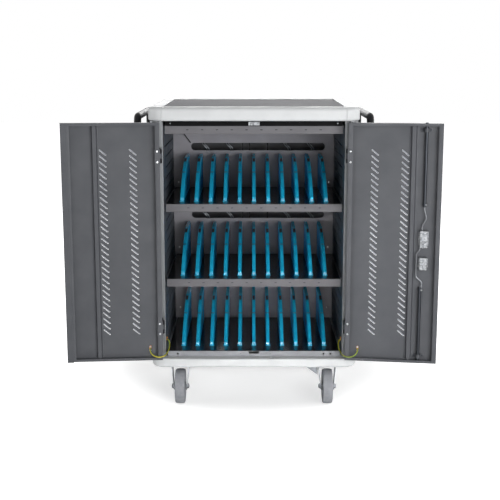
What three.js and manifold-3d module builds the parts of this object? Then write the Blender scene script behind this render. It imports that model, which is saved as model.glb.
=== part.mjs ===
// Laptop charging cart: an aluminium and sheet-steel cabinet on four swivel casters,
// with two slotted front doors, three shelves of upright dividers and a rear power bay.
// Millimetres, +Z up. Y runs from the front of the top rail towards the back.
import * as THREE from 'three';
import { mergeGeometries, mergeVertices } from 'three/addons/utils/BufferGeometryUtils.js';
import ManifoldModule from 'manifold-3d';

const wasm = await ManifoldModule();
wasm.setup();

// Overall body
const bodyWidth = 700;
const bodyDepth = 640;
const bodyHeight = 1035;
const casterHeight = 150;
const clearance = 0.3;

// Top and base rails: rounded channels, open towards the inside
const railWidth = 46;
const railWall = 4;
const capHeight = 45;
const capCrownRadius = 14;
const capFootRadius = 7;
const baseHeight = 32;
const baseCrownRadius = 6;
const baseFootRadius = 10;
const basePlateThickness = 3;
const cleatReach = 28;
const cornerFacets = 20;
const arcFacets = 3;

// Top panel
const topPanelThickness = 4;
const topPanelSink = 2;

// Corner posts
const postSideInset = 6;
const postFrontInset = 8;
const postWidth = 42;
const postDepth = 67;
const postStripWidth = 15;
const postStripSetback = 25;
const postCornerRadius = 22;
const postWall = 4;

// Front doors
const doorFrontInset = 5;
const doorThickness = 24;
const doorSheet = 2;
const doorLip = 15;
const doorEndLip = 9;
const doorTopGap = 4;
const doorBottomGap = 3;
const doorCentreGap = 3;
const doorOverlap = 5;
const leftDoorOpening = 175;
const rightDoorOpening = 172;
const overlapStripWidth = 21;
const overlapStripReach = 14;
const overlapStripThickness = 1.6;
const overlapStripRise = 1.5;
const overlapStripSetback = 1;
const stiffenerFromFreeEdge = 93.5;
const stiffenerFoot = 22;
const stiffenerCrown = 14;
const stiffenerDepth = 12;
const stiffenerEndGap = 10;

// Door ventilation slots
const slotLength = 30;
const slotWidth = 4.2;
const slotTilt = 40;
const slotPitch = 19.6;
const slotsPerColumn = 32;
const slotColumnsFromHinge = [87.5, 186];
const rearSlotColumnsFromHinge = [178.5, 435.5];
const rearSlotsPerColumn = 10;
const rearSlotsMiddle = 420;

// Hinges: a pin with two frame knuckles and one door knuckle
const hingeOutset = 2;
const hingeSetback = 3;
const hingeHeight = 47;
const hingeFromDoorEnd = 110;
const rearHingeHeight = 560;
const knuckleRadius = 5.5;
const pinRadius = 3;
const pinFacets = 8;
const knuckleFacets = 10;
const hingeLeaf = 1.6;
const hingeLeafWidth = 18;
const hingeNotch = 7;
const hingeKnuckles = 3;
const hingeEndPlay = 0.4;
const pinProud = 0.6;
const hingeStrapGap = 0.2;
const hingeWebGap = 1;

// Lock rods, guides and lock cases on the right door
const upperRodFromFreeEdge = 53.5;
const lowerRodFromFreeEdge = 60.5;
const rodRadius = 5;
const rodFacets = 8;
const rodDepth = 12;
const rodTipRise = 3.5;
const rodTipDrop = 2.5;
const rodTipTaper = 3;
const upperRodLength = 273;
const lowerRodStart = 541;
const rodHole = 16;
const guideFromEnd = 22;
const guideHeight = 12;
const guideWidth = 22;
const guideClearance = 0.4;
const lockFromFreeEdge = 53.5;
const lockWidth = 26;
const lockDepth = 24;
const upperLockTop = 350;
const upperLockHeight = 58;
const lowerLockTop = 440;
const lowerLockHeight = 42;
const lockBevel = 3;
const wireRadius = 2.5;
const wireFacets = 6;
const wireSteps = 12;
const wireSocket = 11;
const wireInsert = 20;
const wireOffset = 6;
const wireBypass = 25;
const wireCrank = 24;

// Outside swing handle
const escutcheonWidth = 36;
const escutcheonHeight = 106;
const escutcheonThickness = 11;
const escutcheonAbovePivot = 36;
const leverLength = 52;
const leverWidth = 22;
const leverThickness = 11;
const leverHubRadius = 15;
const leverHubProud = 1;
const leverSpindleRadius = 8;
const roundFacets = 12;

// Shelves, dividers and inner sheets
const sheet = 2;
const trayFront = 46;
const trayLipInset = 5;
const trayLipHeight = 27;
const traySideFlange = 15;
const ceilingDrop = 18;
const floorRise = 18;
const shelfShares = [0.6606, 0.3264];
const floorFront = 36;
const partitionFront = 495;
const supportThickness = 1.5;
const supportSlotPitch = 37;
const supportSlotHeight = 5;
const supportSlotEndGap = 30;
const cableSlotHeight = 29;
const cableSlotInset = 34;
const cableSlotAboveShelf = 138;
const bayCount = 10;
const bayMargin = 56;
const dividerThickness = 11;
const dividerFront = 98;
const dividerDepth = 382;
const dividerHeight = 128;
const dividerKick = 8;
const dividerSweep = 262;
const dividerSweepPull = 117;
const dividerSweepRise = 104;
const dividerFootWidth = 18;
const dividerFootDepth = 30;
const dividerFootHeight = 7;
const headerHeight = 17;
const headerSetback = 0.5;
const catchWidth = 37;
const catchHeight = 13;
const catchThickness = 2;

// Side panels
const sidePanelInset = 10;
const sideFlange = 18;
const ventRows = 5;
const ventPitch = 24;
const ventLength = 300;
const ventHeight = 6;
const ventFromBase = 138;
const ventFromCap = 140;

// Push handles
const handleRadius = 12.5;
const handleFacets = 8;
const handleReach = 44;
const handleGripDrop = 37.5;
const handleFootDrop = 135;
const handleFrontLeg = 118;
const handleRearInset = 104;
const handleBend = 26;
const handleSteps = 30;
const handleFootRadius = 24;
const handleFootThickness = 6;

// Power bay
const stripLength = 470;
const stripHeight = 48;
const stripDepth = 42;
const stripBevel = 4;
const stripBelowCableSlot = 20;
const socketRadius = 17;
const socketDepth = 12;
const socketPitch = 44;
const socketFacets = 6;
const inletWidth = 50;
const inletHeight = 24;
const inletDepth = 26;
const inletPocket = 14;
const inletPocketWidth = 26;
const inletPocketHeight = 16;
const inletFlange = 3;
const inletWall = 2;

// Rear door lock
const rearLockFromEdge = 24;
const rearLockHeight = 600;
const rearLockRadius = 9;
const rearLockPlay = 0.6;
const rearLockHeadRadius = 13;
const rearLockHead = 4;
const camLength = 30;
const camWidth = 14;
const camThickness = 3;
const camProud = 2;
const camSetback = 9;
const camKeeperDepth = 14;
const keywayWidth = 2;
const keywayHeight = 9;

// Casters
const wheelRadius = 62.5;
const wheelWidth = 34;
const wheelFacets = 16;
const treadRadius = 6;
const hubRadius = 15;
const hubOverhang = 1.4;
const webDepth = 6;
const tyreDepth = 15;
const axleRadius = 5;
const axleClearance = 0.3;
const axleNutRadius = 9;
const axleNutLength = 6;
const axleProud = 1;
const nutFacets = 6;
const casterInset = 93;
const casterFrontInset = 106;
const casterTrail = 30;
const forkSheet = 3;
const forkGap = 4;
const forkSplay = 8;
const forkEyeRadius = 14;
const forkHeadRadius = 20;
const forkHeadHeight = 13;
const forkTopHalf = 24;
const brakeReach = 68;
const brakeDrop = 52;
const brakeWidth = 26;
const brakeSheet = 2.5;
const brakeTopGap = 2.5;

// Earth wires from the doors to the posts, as points chosen by hand
const earthWireRadius = 2;
const earthWireFacets = 6;
const earthWireSteps = 16;
const earthWirePoints = [
  [352, -9.4, 224], [351.5, -20, 219], [346, -31, 210], [335, -37.5, 203.5], [322, -39, 200.5],
  [310, -34, 200.5], [300.5, -20, 202], [296.5, 2, 204], [293, 22, 208], [291.5, 40, 215], [292, 52, 223],
  [295, 61, 230], [300.4, 66, 234],
];

// Places worked out from the sizes above
const weldTolerance = 1e-4;
const overcut = 2;
const halfWidth = bodyWidth / 2;
const midDepth = bodyDepth / 2;
const capBottom = bodyHeight - capHeight;
const baseTop = casterHeight + baseHeight;
const postOuter = halfWidth - postSideInset;
const interiorHalf = postOuter - postWidth;
const stripFace = postFrontInset + postStripSetback;
const stripOuter = interiorHalf + postStripWidth;
const postBack = postFrontInset + postDepth;
const doorTop = capBottom - doorTopGap;
const doorBottom = baseTop + doorBottomGap;
const doorMiddle = (doorTop + doorBottom) / 2;
const doorEdge = interiorHalf + doorOverlap;
const doorSkinInner = doorFrontInset + doorSheet;
const doorSeat = doorSkinInner + clearance;
const doorBack = doorFrontInset + doorThickness;
const hingeX = doorEdge + hingeOutset;
const hingeY = hingeSetback;
const hingeHeights = { upper: doorTop - hingeFromDoorEnd, lower: doorBottom + hingeFromDoorEnd };
const rodY = doorSkinInner + rodDepth;
const freeEdge = doorCentreGap / 2;
const upperRodX = freeEdge + upperRodFromFreeEdge;
const lowerRodX = freeEdge + lowerRodFromFreeEdge;
const lockX = freeEdge + lockFromFreeEdge;
const upperLockZ = doorTop - upperLockTop;
const pivotZ = upperLockZ - upperLockHeight / 2;
const handleGripHeight = bodyHeight - handleGripDrop;
const handleFootHeight = bodyHeight - handleFootDrop;
const handleRearLeg = bodyDepth - handleRearInset;
const ceilingTop = capBottom - ceilingDrop;
const floorTop = baseTop + floorRise;
const [upperTop, lowerTop] = shelfShares.map((share) => floorTop + share * (ceilingTop - floorTop));
const bayPitch = (2 * interiorHalf - 2 * bayMargin) / bayCount;
const trayLipHalfWidth = interiorHalf - trayLipInset;
const cableSlotHalfWidth = interiorHalf - cableSlotInset;
const ventCentres = [baseTop + ventFromBase, capBottom - ventFromCap];
const trayHalf = interiorHalf - clearance;
const trayBack = partitionFront - clearance;
const supportInner = interiorHalf + clearance;
const inletZ = casterHeight + baseHeight / 2;
const inletBodyHalf = inletPocketWidth / 2 + inletWall;
const inletBodyRise = inletPocketHeight / 2 + inletWall;
const radians = THREE.MathUtils.degToRad;

// Geometry helpers
function bare(geometry) {
  const flat = geometry.index ? geometry.toNonIndexed() : geometry.clone();
  flat.deleteAttribute('normal');
  flat.deleteAttribute('uv');
  return flat;
}

function toSolid(geometry) {
  const merged = mergeVertices(bare(geometry), weldTolerance);
  const triangles = [];
  for (let i = 0; i < merged.index.count; i += 3) {
    const [a, b, c] = merged.index.array.slice(i, i + 3);
    if (a !== b && b !== c && c !== a) triangles.push(a, b, c);
  }
  return new wasm.Manifold(new wasm.Mesh({
    numProp: 3,
    vertProperties: new Float32Array(merged.attributes.position.array),
    triVerts: new Uint32Array(triangles),
  }));
}

function toGeometry(solid) {
  const { vertProperties, triVerts } = solid.getMesh();
  const geometry = new THREE.BufferGeometry();
  geometry.setAttribute('position', new THREE.BufferAttribute(vertProperties, 3));
  geometry.setIndex(new THREE.BufferAttribute(triVerts, 1));
  return geometry;
}

function join(...parts) {
  return toGeometry(parts.map(toSolid).reduce((whole, part) => whole.add(part)));
}

function cut(geometry, ...tools) {
  return toGeometry(tools.map(toSolid).reduce((whole, tool) => whole.subtract(tool), toSolid(geometry)));
}

function keep(geometry, region) {
  return toGeometry(toSolid(geometry).intersect(toSolid(region)));
}

// Several separate tools as one
function bundle(tools) {
  return mergeGeometries(tools.map(bare));
}

function block(x0, x1, y0, y1, z0, z1) {
  const box = new THREE.BoxGeometry(x1 - x0, y1 - y0, z1 - z0);
  return box.translate((x0 + x1) / 2, (y0 + y1) / 2, (z0 + z1) / 2);
}

function outline(points) {
  return new THREE.Shape(points.map(([u, v]) => new THREE.Vector2(u, v)));
}

function extrude(shape, depth, curveSegments = arcFacets) {
  return new THREE.ExtrudeGeometry(shape, { depth, bevelEnabled: false, curveSegments });
}

// A section drawn in X and Y, run upwards from z0 to z1
function alongZ(shape, z0, z1) {
  return extrude(shape, z1 - z0).translate(0, 0, z0);
}

// A section drawn in Y and Z, run from x0 to x1
function alongX(shape, x0, x1) {
  const turn = new THREE.Matrix4().makeBasis(
    new THREE.Vector3(0, 1, 0), new THREE.Vector3(0, 0, 1), new THREE.Vector3(1, 0, 0));
  return extrude(shape, x1 - x0).applyMatrix4(turn).translate(x0, 0, 0);
}

// A section drawn in X and Z, run from y0 to y1
function alongY(shape, y0, y1) {
  const turn = new THREE.Matrix4().makeBasis(
    new THREE.Vector3(1, 0, 0), new THREE.Vector3(0, 0, 1), new THREE.Vector3(0, -1, 0));
  return extrude(shape, y1 - y0).applyMatrix4(turn).translate(0, y1, 0);
}

function cylinderZ(radius, x, y, z0, z1, facets = pinFacets) {
  return new THREE.CylinderGeometry(radius, radius, z1 - z0, facets)
    .rotateX(Math.PI / 2).translate(x, y, (z0 + z1) / 2);
}

function cylinderY(radius, x, y0, y1, z, facets = roundFacets) {
  return new THREE.CylinderGeometry(radius, radius, y1 - y0, facets).translate(x, (y0 + y1) / 2, z);
}

function cylinderX(radius, x0, x1, y, z, facets = roundFacets) {
  return new THREE.CylinderGeometry(radius, radius, x1 - x0, facets)
    .rotateZ(Math.PI / 2).translate((x0 + x1) / 2, y, z);
}

function turned(points, facets) {
  return new THREE.LatheGeometry(points.map(([r, z]) => new THREE.Vector2(r, z)), facets)
    .rotateX(Math.PI / 2);
}

function tube(curve, radius, facets, steps) {
  const section = new THREE.Shape();
  for (let i = 0; i < facets; i += 1) {
    const angle = (2 * Math.PI * i) / facets;
    const place = [radius * Math.cos(angle), radius * Math.sin(angle)];
    if (i === 0) section.moveTo(...place);
    else section.lineTo(...place);
  }
  return new THREE.ExtrudeGeometry(section, { steps, extrudePath: curve, bevelEnabled: false });
}

function vector([x, y, z]) {
  return new THREE.Vector3(x, y, z);
}

// The left-hand copy of a right-hand shape
function mirrored(geometry) {
  const copy = bare(geometry).scale(-1, 1, 1);
  const place = copy.attributes.position;
  for (let i = 0; i < place.count; i += 3) {
    const second = new THREE.Vector3().fromBufferAttribute(place, i + 1);
    const third = new THREE.Vector3().fromBufferAttribute(place, i + 2);
    place.setXYZ(i + 1, third.x, third.y, third.z);
    place.setXYZ(i + 2, second.x, second.y, second.z);
  }
  return copy;
}

// The rear copy of a front shape, turned half round about the cart's middle
function turnedToRear(geometry) {
  return geometry.clone().rotateZ(Math.PI).translate(0, bodyDepth, 0);
}

// A bar outline whose short sides are full rounds
function roundedBar(x0, x1, z0, z1) {
  const radius = Math.min(x1 - x0, z1 - z0) / 2;
  const centres = [[x1 - radius, z0 + radius], [x1 - radius, z1 - radius], [x0 + radius, z1 - radius],
    [x0 + radius, z0 + radius]];
  const points = centres.flatMap(([x, z], quarter) => Array.from({ length: arcFacets + 1 }, (_, i) => {
    const angle = (quarter - 1 + i / arcFacets) * (Math.PI / 2);
    return [x + radius * Math.cos(angle), z + radius * Math.sin(angle)];
  }));
  const apart = (p, q) => Math.hypot(p[0] - q[0], p[1] - q[1]) > weldTolerance;
  return outline(points.filter((point, i) => apart(point, points.at(i - 1))));
}

// Finishes
const finishes = {
  railPaint: { color: '#e4e6e6', roughness: 0.45, metalness: 0 },
  topLaminate: { color: '#85868a', roughness: 0.6, metalness: 0 },
  postAluminium: { color: '#9c9d9f', roughness: 0.5, metalness: 0.3 },
  doorPaint: { color: '#66686c', roughness: 0.55, metalness: 0 },
  panelPaint: { color: '#5c5e62', roughness: 0.55, metalness: 0 },
  innerPaint: { color: '#3a3a3f', roughness: 0.6, metalness: 0 },
  trayPaint: { color: '#7d7b7e', roughness: 0.55, metalness: 0 },
  dividerPlastic: { color: '#1787ad', roughness: 0.5, metalness: 0 },
  blackPlastic: { color: '#1f1f22', roughness: 0.5, metalness: 0 },
  zinc: { color: '#d3d5d8', roughness: 0.35, metalness: 0.9 },
  rodSteel: { color: '#4a4c52', roughness: 0.4, metalness: 0.7 },
  forkSteel: { color: '#c4c7cc', roughness: 0.35, metalness: 0.9 },
  wheelRubber: { color: '#8c8e92', roughness: 0.75, metalness: 0 },
  earthWire: { color: '#b6bd3a', roughness: 0.5, metalness: 0 },
};

const cart = new THREE.Group();

function add(name, geometry, finish, parent = cart) {
  const mesh = new THREE.Mesh(geometry, new THREE.MeshStandardMaterial(finishes[finish]));
  mesh.name = name;
  parent.add(mesh);
  return mesh;
}

// Rail section: inward distance and height, a channel open towards the inside
function railSection(height, crown, foot) {
  const shape = new THREE.Shape();
  shape.moveTo(railWidth, 0);
  shape.lineTo(railWidth, railWall);
  shape.lineTo(railWall, railWall);
  shape.lineTo(railWall, height - crown);
  shape.lineTo(crown, height - railWall);
  shape.lineTo(railWidth, height - railWall);
  shape.lineTo(railWidth, height);
  shape.lineTo(crown, height);
  shape.absarc(crown, height - crown, crown, Math.PI / 2, Math.PI);
  shape.lineTo(0, foot);
  shape.absarc(foot, foot, foot, Math.PI, 1.5 * Math.PI);
  return shape;
}

// Four straight rails round the body, each between two corners
function rails(bottom, height, crown, foot, seam) {
  const section = railSection(height, crown, foot);
  const sides = [[bodyWidth, midDepth], [bodyDepth, halfWidth], [bodyWidth, midDepth],
    [bodyDepth, halfWidth]];
  return sides.map(([length, reach], quarter) => {
    const half = length / 2 - railWidth - seam;
    return alongX(section, -half, half)
      .translate(0, -reach, bottom)
      .rotateZ((quarter * Math.PI) / 2)
      .translate(0, midDepth, 0);
  });
}

// One rounded corner of the rail section, turned about the rails' inner corner
function railCorner(quarter, bottom, height, crown, foot, wallBelow) {
  const arc = (radius, centre, from) => Array.from({ length: arcFacets + 1 }, (_, i) => {
    const angle = from + (i / arcFacets) * (Math.PI / 2);
    return [railWidth - radius + radius * Math.cos(angle), centre + radius * Math.sin(angle)];
  });
  const outer = turned([[0, 0], ...arc(foot, foot, -Math.PI / 2), ...arc(crown, height - crown, 0),
    [0, height]], cornerFacets);
  const hollow = turned([[0, wallBelow], [railWidth - railWall, wallBelow],
    [railWidth - railWall, height - crown], [railWidth - crown, height - railWall], [0, height - railWall]],
    cornerFacets);
  const quadrant = block(0, railWidth + overcut, -railWidth - overcut, 0, -overcut, height + overcut);
  const signs = [[1, -1], [1, 1], [-1, 1], [-1, -1]][quarter];
  return cut(keep(outer, quadrant), hollow)
    .rotateZ((quarter * Math.PI) / 2)
    .translate(signs[0] * (halfWidth - railWidth), midDepth + signs[1] * (midDepth - railWidth), bottom);
}

const cornerNames = ['front_right', 'rear_right', 'rear_left', 'front_left'];

// Cap: one frame of four rails tied by corner cleats, four corner caps and the top panel
function capFrame() {
  const cleats = [1, -1].flatMap((sx) => [1, -1].map((sy) => {
    const x = [halfWidth - railWidth - cleatReach, halfWidth - railWidth + cleatReach].map((v) => sx * v);
    const y = [midDepth - railWidth - cleatReach, midDepth - railWidth + cleatReach].map((v) => sy * v);
    return block(Math.min(...x), Math.max(...x), midDepth + Math.min(...y), midDepth + Math.max(...y),
      capBottom + clearance, capBottom + railWall - clearance);
  }));
  const keeper = block(upperRodX - rodHole / 2, upperRodX + rodHole / 2, rodY - rodHole / 2,
    rodY + rodHole / 2, capBottom - overcut, capBottom + railWall + overcut);
  return cut(join(...rails(capBottom, capHeight, capCrownRadius, capFootRadius, clearance), ...cleats),
    keeper);
}

add('cap_frame', capFrame(), 'railPaint');
cornerNames.forEach((name, quarter) => {
  add(`cap_corner_${name}`,
    railCorner(quarter, capBottom, capHeight, capCrownRadius, capFootRadius, -overcut), 'railPaint');
});
add('top_panel', block(-halfWidth + railWidth, halfWidth - railWidth, railWidth, bodyDepth - railWidth,
  bodyHeight - topPanelSink - topPanelThickness, bodyHeight - topPanelSink), 'topLaminate');

// Base: the same rails and corners in one welded frame with a bottom plate
function baseFrame() {
  const corners = cornerNames.map((name, quarter) => railCorner(quarter, casterHeight, baseHeight,
    baseCrownRadius, baseFootRadius, railWall));
  const plateBottom = casterHeight + clearance;
  const plateTop = plateBottom + basePlateThickness;
  const depthPlate = block(-halfWidth + railWidth, halfWidth - railWidth, railWidth / 2,
    bodyDepth - railWidth / 2, plateBottom, plateTop);
  const widthPlate = block(-halfWidth + railWidth / 2, halfWidth - railWidth / 2, railWidth,
    bodyDepth - railWidth, plateBottom, plateTop);
  const keeper = block(lowerRodX - rodHole / 2, lowerRodX + rodHole / 2, rodY - rodHole / 2,
    rodY + rodHole / 2, baseTop - railWall - overcut, baseTop + overcut);
  const inletHole = block(-inletBodyHalf - clearance, inletBodyHalf + clearance,
    bodyDepth - railWall - overcut,
    bodyDepth + overcut, inletZ - inletBodyRise - clearance, inletZ + inletBodyRise + clearance);
  return cut(join(...rails(casterHeight, baseHeight, baseCrownRadius, baseFootRadius, 0), ...corners,
    depthPlate, widthPlate), keeper, inletHole);
}

add('base_frame', baseFrame(), 'railPaint');

// Corner posts: hollow profiles with a rebated strip that the door closes over
function post() {
  const shape = new THREE.Shape();
  shape.moveTo(interiorHalf, stripFace);
  shape.lineTo(stripOuter, stripFace);
  shape.lineTo(stripOuter, postFrontInset);
  shape.lineTo(postOuter - postCornerRadius, postFrontInset);
  shape.absarc(postOuter - postCornerRadius, postFrontInset + postCornerRadius, postCornerRadius,
    -Math.PI / 2, 0);
  shape.lineTo(postOuter, postBack);
  shape.lineTo(interiorHalf, postBack);
  shape.closePath();
  shape.holes.push(outline([
    [interiorHalf + postWall, stripFace + postWall], [interiorHalf + postWall, postBack - postWall],
    [postOuter - postWall, postBack - postWall], [postOuter - postWall, stripFace + postWall],
  ]));
  return alongZ(shape, baseTop, capBottom);
}

// Slot in a post that takes the rear lock's cam as it swings in
function camKeeper() {
  const camBack = doorBack + camSetback + camThickness;
  return block(-interiorHalf - camKeeperDepth, -interiorHalf + overcut,
    doorBack + camSetback - overcut, camBack + overcut,
    rearLockHeight - camLength - overcut, rearLockHeight + camWidth / 2 + overcut);
}

add('post_front_right', post(), 'postAluminium');
add('post_front_left', mirrored(post()), 'postAluminium');
add('post_rear_left', turnedToRear(post()), 'postAluminium');
add('post_rear_right', turnedToRear(cut(mirrored(post()), camKeeper())), 'postAluminium');

// Hinges, drawn about the pin with the door towards -X and the outside towards -Y
const knuckleHalf = (height) => height / hingeKnuckles / 2;

function hingeFrameHalf(height) {
  const half = height / 2;
  const middle = knuckleHalf(height) + hingeEndPlay;
  const web = block(hingeWebGap, stripOuter - hingeX - clearance, 0, stripFace - hingeY - clearance, -half,
    half);
  const room = block(0, stripOuter - hingeX, -overcut, knuckleRadius + hingeWebGap, -middle, middle);
  return join(cut(web, room), cylinderZ(knuckleRadius, 0, 0, middle, half, knuckleFacets),
    cylinderZ(knuckleRadius, 0, 0, -half, -middle, knuckleFacets),
    cylinderZ(pinRadius, 0, 0, -half - pinProud, half + pinProud));
}

function hingeDoorHalf(height, seatGap) {
  const half = height / 2;
  const middle = knuckleHalf(height);
  const strapInner = -hingeOutset + seatGap;
  const strapOuter = strapInner + hingeLeaf;
  const leafInner = doorBack - hingeY + seatGap;
  const leafOuter = leafInner + hingeLeaf;
  const arm = block(strapInner, strapOuter, 0, leafOuter, -middle, middle);
  const strap = block(strapInner, strapOuter, knuckleRadius + hingeWebGap, leafOuter, -half, half);
  const leaf = block(strapOuter - hingeLeafWidth, strapOuter, leafInner, leafOuter, -half, half);
  const bore = cylinderZ(pinRadius + clearance, 0, 0, -half, half);
  return cut(join(cylinderZ(knuckleRadius, 0, 0, -middle, middle, knuckleFacets), arm, strap, leaf), bore);
}

for (const [level, z] of Object.entries(hingeHeights)) {
  const half = hingeFrameHalf(hingeHeight).translate(hingeX, hingeY, z);
  add(`hinge_frame_right_${level}`, half, 'blackPlastic');
  add(`hinge_frame_left_${level}`, mirrored(half), 'blackPlastic');
}
add('rear_hinge', turnedToRear(hingeFrameHalf(rearHingeHeight)
  .translate(hingeX, hingeY, doorMiddle)), 'blackPlastic');

// A door pan with return lips, closed, hinged at the right
function doorPan(edge, hinges) {
  const outside = block(edge, doorEdge, doorFrontInset, doorBack, doorBottom, doorTop);
  const pocket = block(edge + doorSheet, doorEdge - doorSheet, doorSkinInner, doorBack - doorSheet,
    doorBottom + doorSheet, doorTop - doorSheet);
  const window = block(edge + doorLip, doorEdge - doorLip, doorSkinInner, doorBack + overcut,
    doorBottom + doorEndLip, doorTop - doorEndLip);
  const notches = hinges.map(([z, height]) => block(hingeX - hingeNotch, doorEdge + overcut,
    doorFrontInset - overcut, hingeY + hingeNotch, z - height / 2 - overcut, z + height / 2 + overcut));
  return cut(outside, pocket, window, bundle(notches));
}

// One slanted slot through the door's skin, with ends cut on the slant
function doorSlot() {
  const half = slotLength / 2;
  const shape = outline([[half, slotWidth / 2], [-half + slotWidth / 2, slotWidth / 2],
    [-half, -slotWidth / 2], [half - slotWidth / 2, -slotWidth / 2]]);
  return alongY(shape, doorFrontInset - overcut, doorSkinInner + overcut / 2).rotateY(-radians(slotTilt));
}

// Columns of slots about one height
function slotField(columns, perColumn, middle) {
  return bundle(columns.flatMap((x) => Array.from({ length: perColumn }, (_, i) => (
    doorSlot().translate(x, 0, middle + (i - (perColumn - 1) / 2) * slotPitch)))));
}

// Hat-section stiffener spot-welded to the door's skin
function stiffener() {
  const x = freeEdge + stiffenerFromFreeEdge;
  const shape = outline([[x - stiffenerFoot / 2, doorSkinInner], [x + stiffenerFoot / 2, doorSkinInner],
    [x + stiffenerCrown / 2, doorSkinInner + stiffenerDepth],
    [x - stiffenerCrown / 2, doorSkinInner + stiffenerDepth]]);
  return alongZ(shape, doorBottom + stiffenerEndGap, doorTop - stiffenerEndGap);
}

const frontHinges = Object.values(hingeHeights).map((z) => [z, hingeHeight]);

function rightDoor() {
  const slots = slotField(slotColumnsFromHinge.map((fromHinge) => doorEdge - fromHinge), slotsPerColumn,
    doorMiddle);
  const rodHoles = [[upperRodX, doorTop], [lowerRodX, doorBottom]].map(([x, z]) => block(
    x - rodHole / 2, x + rodHole / 2, rodY - rodHole / 2, rodY + rodHole / 2, z - doorSheet - overcut,
    z + doorSheet + overcut));
  const spindle = cylinderY(leverSpindleRadius + clearance, lockX, doorFrontInset - overcut,
    doorSkinInner + overcut, pivotZ);
  const pan = join(doorPan(freeEdge, frontHinges), stiffener());
  return cut(pan, slots, bundle(rodHoles), spindle);
}

// The left door's slots lean the same way, and its free edge carries the overlap strip
function leftDoor() {
  const slots = slotField(slotColumnsFromHinge.map((fromHinge) => fromHinge - doorEdge), slotsPerColumn,
    doorMiddle);
  const stripBack = doorBack + clearance + overlapStripThickness;
  const stripBottom = doorBottom - overlapStripRise;
  const stripTop = doorTop + overlapStripRise;
  const tongue = block(-freeEdge + overlapStripReach - overlapStripWidth, -freeEdge + overlapStripReach,
    doorBack + clearance, stripBack, stripBottom, stripTop);
  const foot = block(-freeEdge + overlapStripReach - overlapStripWidth, -freeEdge - overlapStripSetback,
    doorBack - doorSheet / 2, stripBack - clearance, doorBottom + doorLip, doorTop - doorLip);
  const pan = join(doorPan(freeEdge, frontHinges), stiffener());
  return join(cut(mirrored(pan), slots), tongue, foot);
}

// A door and what it carries hang in a group that turns about the hinge pins
function doorGroup(side, opening) {
  const group = new THREE.Group();
  group.position.set(side * hingeX, hingeY, 0);
  group.rotation.z = side * radians(opening);
  cart.add(group);
  return (name, geometry, finish) => {
    add(name, geometry.clone().translate(-side * hingeX, -hingeY, 0), finish, group);
  };
}

const hangRight = doorGroup(1, rightDoorOpening);
const hangLeft = doorGroup(-1, leftDoorOpening);
hangRight('door_right', rightDoor(), 'doorPaint');
hangLeft('door_left', leftDoor(), 'doorPaint');
for (const [level, z] of Object.entries(hingeHeights)) {
  const half = hingeDoorHalf(hingeHeight, hingeStrapGap).translate(hingeX, hingeY, z);
  hangRight(`hinge_door_right_${level}`, half, 'doorPaint');
  hangLeft(`hinge_door_left_${level}`, mirrored(half), 'doorPaint');
}

// Lock rods with their cranked link wires
function rod(x, low, high) {
  const shaft = turned([[0, low], [rodRadius - rodTipTaper / 2, low], [rodRadius, low + rodTipTaper],
    [rodRadius, high - rodTipTaper], [rodRadius - rodTipTaper / 2, high], [0, high]], rodFacets);
  return shaft.translate(x, rodY, 0);
}

function linkWire(points) {
  const curve = new THREE.CatmullRomCurve3(points.map(vector), false, 'centripetal');
  return tube(curve, wireRadius, wireFacets, wireSteps);
}

const wireX = lockX + wireOffset;
const upperRodEnd = doorTop - upperRodLength;
const lowerRodEnd = doorTop - lowerRodStart;
const upperLockBase = upperLockZ - upperLockHeight;
const lowerLockZ = doorTop - lowerLockTop;
const bypassX = lockX + wireBypass;

hangRight('rod_upper', join(rod(upperRodX, upperRodEnd, doorTop + rodTipRise), linkWire([
  [upperRodX, rodY, upperRodEnd + rodRadius], [upperRodX, rodY, upperRodEnd - wireCrank / 2],
  [wireX, rodY, upperRodEnd - 1.5 * wireCrank], [wireX, rodY, upperLockZ],
  [wireX, rodY, upperLockZ - wireInsert]])), 'rodSteel');
hangRight('rod_lower', join(rod(lowerRodX, doorBottom - rodTipDrop, lowerRodEnd), linkWire([
  [lowerRodX, rodY, lowerRodEnd - rodRadius], [lowerRodX, rodY, lowerRodEnd + wireCrank / 2],
  [bypassX, rodY, lowerRodEnd + 1.5 * wireCrank],
  [bypassX, rodY, lowerLockZ], [wireX, rodY, upperLockBase - wireCrank / 4],
  [wireX, rodY, upperLockBase + wireInsert]])), 'rodSteel');

// Riveted brackets that guide the rods, and the two lock cases
function rodGuide(x, z) {
  const saddle = alongZ(outline([[x - guideWidth / 2, doorSeat], [x + guideWidth / 2, doorSeat],
    [x + guideWidth / 2, rodY], [x + guideWidth / 3, rodY + rodRadius + railWall],
    [x - guideWidth / 3, rodY + rodRadius + railWall], [x - guideWidth / 2, rodY]]),
    z - guideHeight / 2, z + guideHeight / 2);
  return cut(saddle, cylinderZ(rodRadius + guideClearance, x, rodY, z - guideHeight, z + guideHeight));
}

function lockCase(top, height) {
  const half = lockWidth / 2;
  const back = doorSeat + lockDepth;
  return alongZ(outline([[lockX - half, doorSeat], [lockX + half, doorSeat],
    [lockX + half, back - lockBevel], [lockX + half - lockBevel, back], [lockX - half + lockBevel, back],
    [lockX - half, back - lockBevel]]), top - height, top);
}

function wireHole(z0, z1) {
  return block(wireX - wireSocket / 2, wireX + wireSocket / 2, rodY - wireSocket / 2, rodY + wireSocket / 2,
    z0, z1);
}

const wireEndGap = 3;
hangRight('rod_guide_upper', rodGuide(upperRodX, doorTop - guideFromEnd), 'doorPaint');
hangRight('rod_guide_lower', rodGuide(lowerRodX, doorBottom + guideFromEnd), 'doorPaint');
hangRight('lock_case_upper', cut(lockCase(upperLockZ, upperLockHeight),
  wireHole(upperLockZ - wireInsert - wireEndGap, upperLockZ + overcut),
  wireHole(upperLockBase - overcut, upperLockBase + wireInsert + wireEndGap)), 'zinc');
hangRight('lock_case_lower', lockCase(lowerLockZ, lowerLockHeight), 'zinc');

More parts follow.
